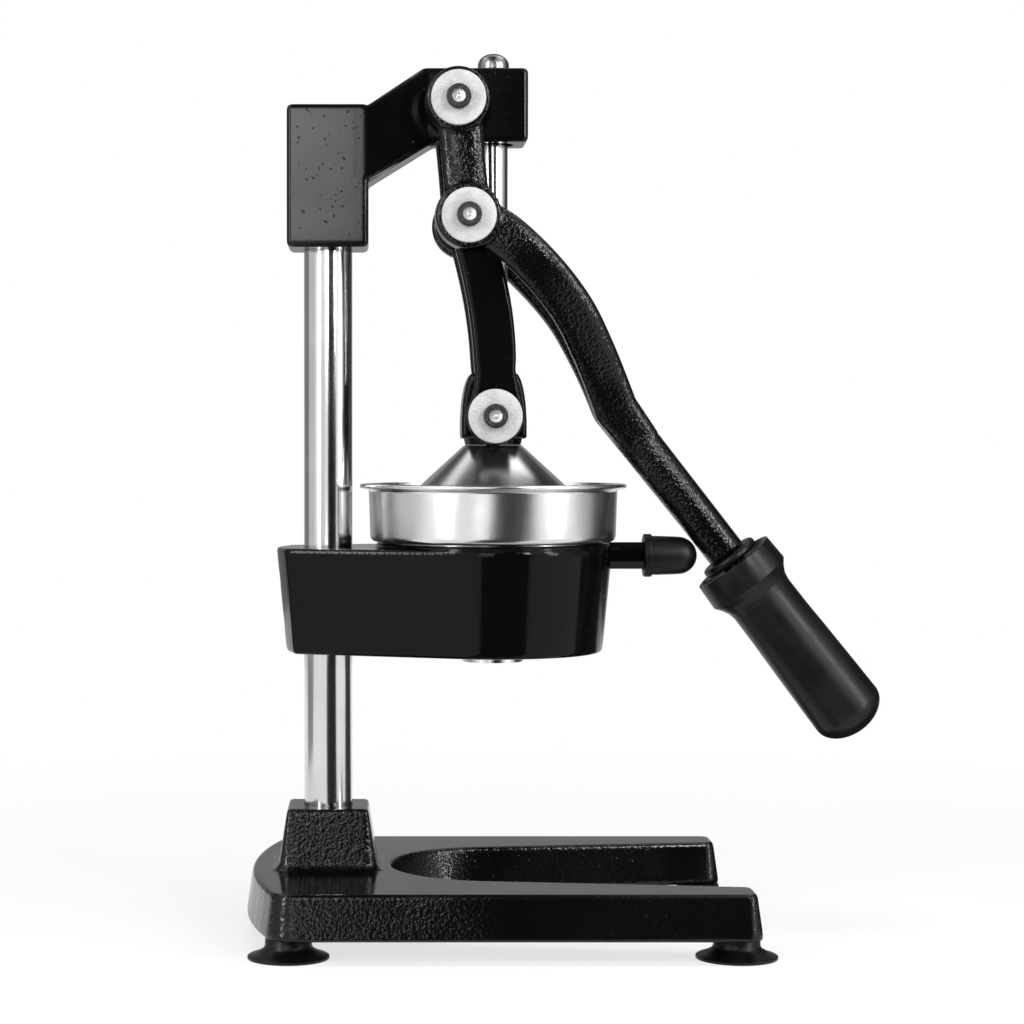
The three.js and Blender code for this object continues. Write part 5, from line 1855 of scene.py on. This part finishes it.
@dataclass
class Studio:
    """Floor, light and camera, with the camera's spot and aim in millimetres and the rest in metres.

    The floor's fade is two distances from the column and how much white shows at each.
    """

    camera_spot: Span = (21.7, -1177.0, 225.7)
    aim: Span = (21.7, 0.0, 194.5)
    lens: float = 88.98
    sensor: float = 36.0
    shift: float = 0.1338
    diffuse_level: float = 0.45
    floor_half: float = 3.0
    floor_drop: float = 0.0002
    floor_shade: float = 0.86
    floor_roughness: float = 0.7
    floor_gloss: float = 0.1
    floor_fade: tuple[float, float, float, float] = (0.15, 0.75, 0.72, 1.0)

    def build(self) -> None:
        """Sets up the studio."""
        bpy.context.scene.view_settings.view_transform = "Standard"
        self.world()
        self.floor()
        for light in (*CARDS, *FLATS, *SOFT_BOXES):
            light.make()
        self.camera()

    def camera(self) -> None:
        """Makes the camera at the photographed angle."""
        data = bpy.data.cameras.new("camera")
        data.lens = self.lens
        data.sensor_width = self.sensor
        data.shift_x = self.shift
        made = linked("camera", data)
        spot, aim = TO_ROW @ Vector(self.camera_spot), TO_ROW @ Vector(self.aim)
        made.location = spot
        made.rotation_euler = facing(spot, aim)
        bpy.context.scene.camera = made

    def world(self) -> None:
        """White surroundings for the camera and for reflections, a lower light on the object."""
        world = bpy.data.worlds.new("surroundings")
        world.use_nodes = True
        bpy.context.scene.world = world
        tree = world.node_tree
        path = tree.nodes.new("ShaderNodeLightPath")
        seen = path.outputs["Is Camera Ray"]
        for ray in ("Is Glossy Ray", "Is Transmission Ray"):
            either = tree.nodes.new("ShaderNodeMath")
            either.operation = "MAXIMUM"
            tree.links.new(seen, either.inputs[0])
            tree.links.new(path.outputs[ray], either.inputs[1])
            seen = either.outputs[0]
        level = tree.nodes.new("ShaderNodeMapRange")
        level.inputs["To Min"].default_value = self.diffuse_level
        level.inputs["To Max"].default_value = 1.0
        tree.links.new(seen, level.inputs["Value"])
        background = tree.nodes["Background"]
        background.inputs["Color"].default_value = (1, 1, 1, 1)
        tree.links.new(level.outputs["Result"], background.inputs["Strength"])

    def floor(self) -> None:
        """A pale floor that fades into the white surroundings."""
        data = bpy.data.meshes.new("floor")
        half = self.floor_half
        corners = [(-half, -half, 0), (half, -half, 0), (half, half, 0), (-half, half, 0)]
        data.from_pydata(corners, [], [(0, 1, 2, 3)])
        made = linked("floor", data)
        made.location.z = -self.floor_drop
        bench = NodeBench("pale_floor")
        bench.shader.inputs["Base Color"].default_value = (*(self.floor_shade,) * 3, 1)
        bench.shader.inputs["Roughness"].default_value = self.floor_roughness
        bench.shader.inputs["Specular IOR Level"].default_value = self.floor_gloss
        far = bench.node("ShaderNodeVectorMath", {"operation": "LENGTH"}, {0: bench.place}).outputs["Value"]
        faded = bench.spread(far, *self.floor_fade)
        white = bench.node("ShaderNodeEmission", inputs={"Strength": 1.0}).outputs[0]
        path = bench.node("ShaderNodeLightPath").outputs
        rays = {0: path["Is Camera Ray"], 1: path["Is Glossy Ray"]}
        seen = bench.node("ShaderNodeMath", {"operation": "MAXIMUM"}, rays).outputs[0]
        sides = {0: bench.product(faded, seen), 1: bench.shader.outputs[0], 2: white}
        mix = bench.node("ShaderNodeMixShader", inputs=sides)
        output = bench.tree.nodes["Material Output"]
        bench.tree.links.new(mix.outputs[0], output.inputs["Surface"])
        data.materials.append(bench.material)


def facing(spot: Vector, aim: Vector) -> Euler:
    """The turn of a camera or a lamp that looks from one place at another.

    Args:
        spot: where it is.
        aim: what it looks at.

    Returns:
        The turn.
    """
    return (aim - spot).to_track_quat("-Z", "Y").to_euler()


def hang_card(
    name: str,
    points: Sequence[Sequence[float]],
    faces: Sequence[Sequence[int]],
    level: float,
) -> None:
    """Hangs a card that only reflections see.

    Args:
        name: the card's name.
        points: its corners, in metres from the column's foot.
        faces: its faces.
        level: how bright it is, where one is white.
    """
    data = bpy.data.meshes.new(name)
    data.from_pydata([(x + COLUMN_X, y, z) for x, y, z in points], [], faces)
    made = linked(name, data)
    bench = NodeBench(name)
    glow = bench.node("ShaderNodeEmission", inputs={"Strength": level}).outputs[0]
    bench.tree.links.new(glow, bench.tree.nodes["Material Output"].inputs["Surface"])
    data.materials.append(bench.material)
    made.visible_camera = False
    made.visible_diffuse = False
    made.visible_shadow = False
    made.visible_transmission = False


@dataclass(frozen=True)
class Card:
    """A card bent round the column, in metres: angles in degrees from the camera's side towards the grip."""

    name: str
    start: float
    end: float
    low: float
    high: float
    level: float
    reach: float = 1.3
    bend: float = 6.0

    def make(self) -> None:
        """Hangs the card."""
        count = max(1, math.ceil((self.end - self.start) / self.bend))
        points = []
        for k in range(count + 1):
            angle = math.radians(self.start + (self.end - self.start) * k / count)
            across, near = self.reach * math.sin(angle), -self.reach * math.cos(angle)
            points += [(across, near, self.low), (across, near, self.high)]
        faces = [(2 * k, 2 * k + 2, 2 * k + 3, 2 * k + 1) for k in range(count)]
        hang_card(self.name, points, faces, self.level)


@dataclass(frozen=True)
class FlatCard:
    """A lying card, with its height and corners in metres from the column's foot."""

    name: str
    height: float
    level: float
    corners: tuple[Point2, ...]

    def make(self) -> None:
        """Hangs the card."""
        hang_card(self.name, [(*corner, self.height) for corner in self.corners], [(0, 1, 2, 3)], self.level)


@dataclass(frozen=True)
class SoftBox:
    """A rectangular lamp in metres and watts, which looks at the middle of the press."""

    name: str
    spot: Span
    size: Point2
    power: float
    mirrored: bool = True
    aim: Span = (0, 0, 0.2)

    def make(self) -> None:
        """Hangs the lamp."""
        data = bpy.data.lights.new(self.name, "AREA")
        data.shape = "RECTANGLE"
        data.size, data.size_y = self.size
        data.energy = self.power
        made = linked(self.name, data)
        made.location = self.spot
        made.rotation_euler = facing(Vector(self.spot), Vector(self.aim))
        made.visible_glossy = self.mirrored


CARDS = (
    Card("front_low_card", -1, 38, -0.05, 0.405, 0.0),
    Card("front_high_card", 0.8, 36, 0.405, 1.3, 0.0),
    Card("front_side_card", -38, -14, -0.05, 0.405, 0.8),
    Card("head_glow", -12, 0.8, 0.405, 0.66, 6.4),
    Card("foot_glow", -14, -1.5, 0.045, 0.09, 6.0, 1.27),
    Card("brow_glow", -34, 34, 1.3, 1.5, 0.3),
    Card("left_card", -104, -66, -0.05, 1.0, 0.7),
    Card("left_dark_card", -150, -104, -0.05, 1.2, 0.25),
    Card("right_card", 80, 99, -0.05, 1.0, 0.5),
    Card("right_dark_card", 99, 150, -0.05, 1.2, 0.06),
    Card("back_card", 150, 210, 0.0, 0.9, 0.4, 1.4),
    Card("back_high_card", 118, 242, 0.9, 2.1, 0.05, 1.45),
)
FLATS = (
    FlatCard("floor_card", 0.0012, 0.025, ((-0.185, -1.28), (0.93, -1.28), (0.12, -0.125), (-0.005, -0.125))),
    FlatCard("floor_right_card", 0.0012, 0.05, ((0.2, -0.01), (1.3, 0.0), (1.1, 0.9), (0.11, 0.16))),
    FlatCard("floor_left_card", 0.0012, 0.3, ((-0.4, -0.09), (-1.37, -0.36), (-1.24, 0.65), (-0.37, 0.15))),
    FlatCard("ceiling", 1.5, 0.03, ((0.0, -0.7), (0.36, -0.7), (0.36, 0.3), (0.0, 0.3))),
    FlatCard("cone_shade", 1.5, 0.0, ((-0.37, -1.15), (0.0, -1.15), (0.0, 0.36), (-0.37, 0.36))),
    FlatCard("cone_front_shade", 1.5, 0.0, ((0.0, -1.15), (0.3, -1.15), (0.3, -0.71), (0.0, -0.71))),
    FlatCard("cone_glow_left", 1.5, 1.7, ((-0.88, 0.1), (-0.47, 0.1), (-0.47, 0.95), (-0.88, 0.95))),
    FlatCard("cone_glow_right", 1.5, 2.4, ((0.44, 0.1), (0.94, 0.1), (0.94, 0.95), (0.44, 0.95))),
)
SOFT_BOXES = (
    SoftBox("left_strip", (-0.95, -0.9, 0.65), (0.16, 1.1), 8.0),
    SoftBox("right_strip", (1.1, -0.74, 0.6), (0.16, 1.0), 8.0),
    SoftBox("top_box", (0.0, -0.2, 1.4), (0.9, 0.6), 9.0, mirrored=False),
    SoftBox("ridge_strip", (0.52, -0.93, 0.68), (0.08, 0.5), 4.0),
)


def main() -> None:
    """Builds the press and its studio."""
    logging.basicConfig(level=logging.INFO, format="%(name)s: %(message)s", stream=sys.stdout)
    frame_parts = (Stand(), Column(), Head(), GrubScrews(), Carrier(), CupSet())
    moving_parts = (Ram(), Pivots(), LinkPair(), Lever())
    for part in (*frame_parts, *moving_parts):
        LOG.info("building %s", type(part).__name__)
        part.build()
    Studio().build()


if __name__ == "__main__":
    main()
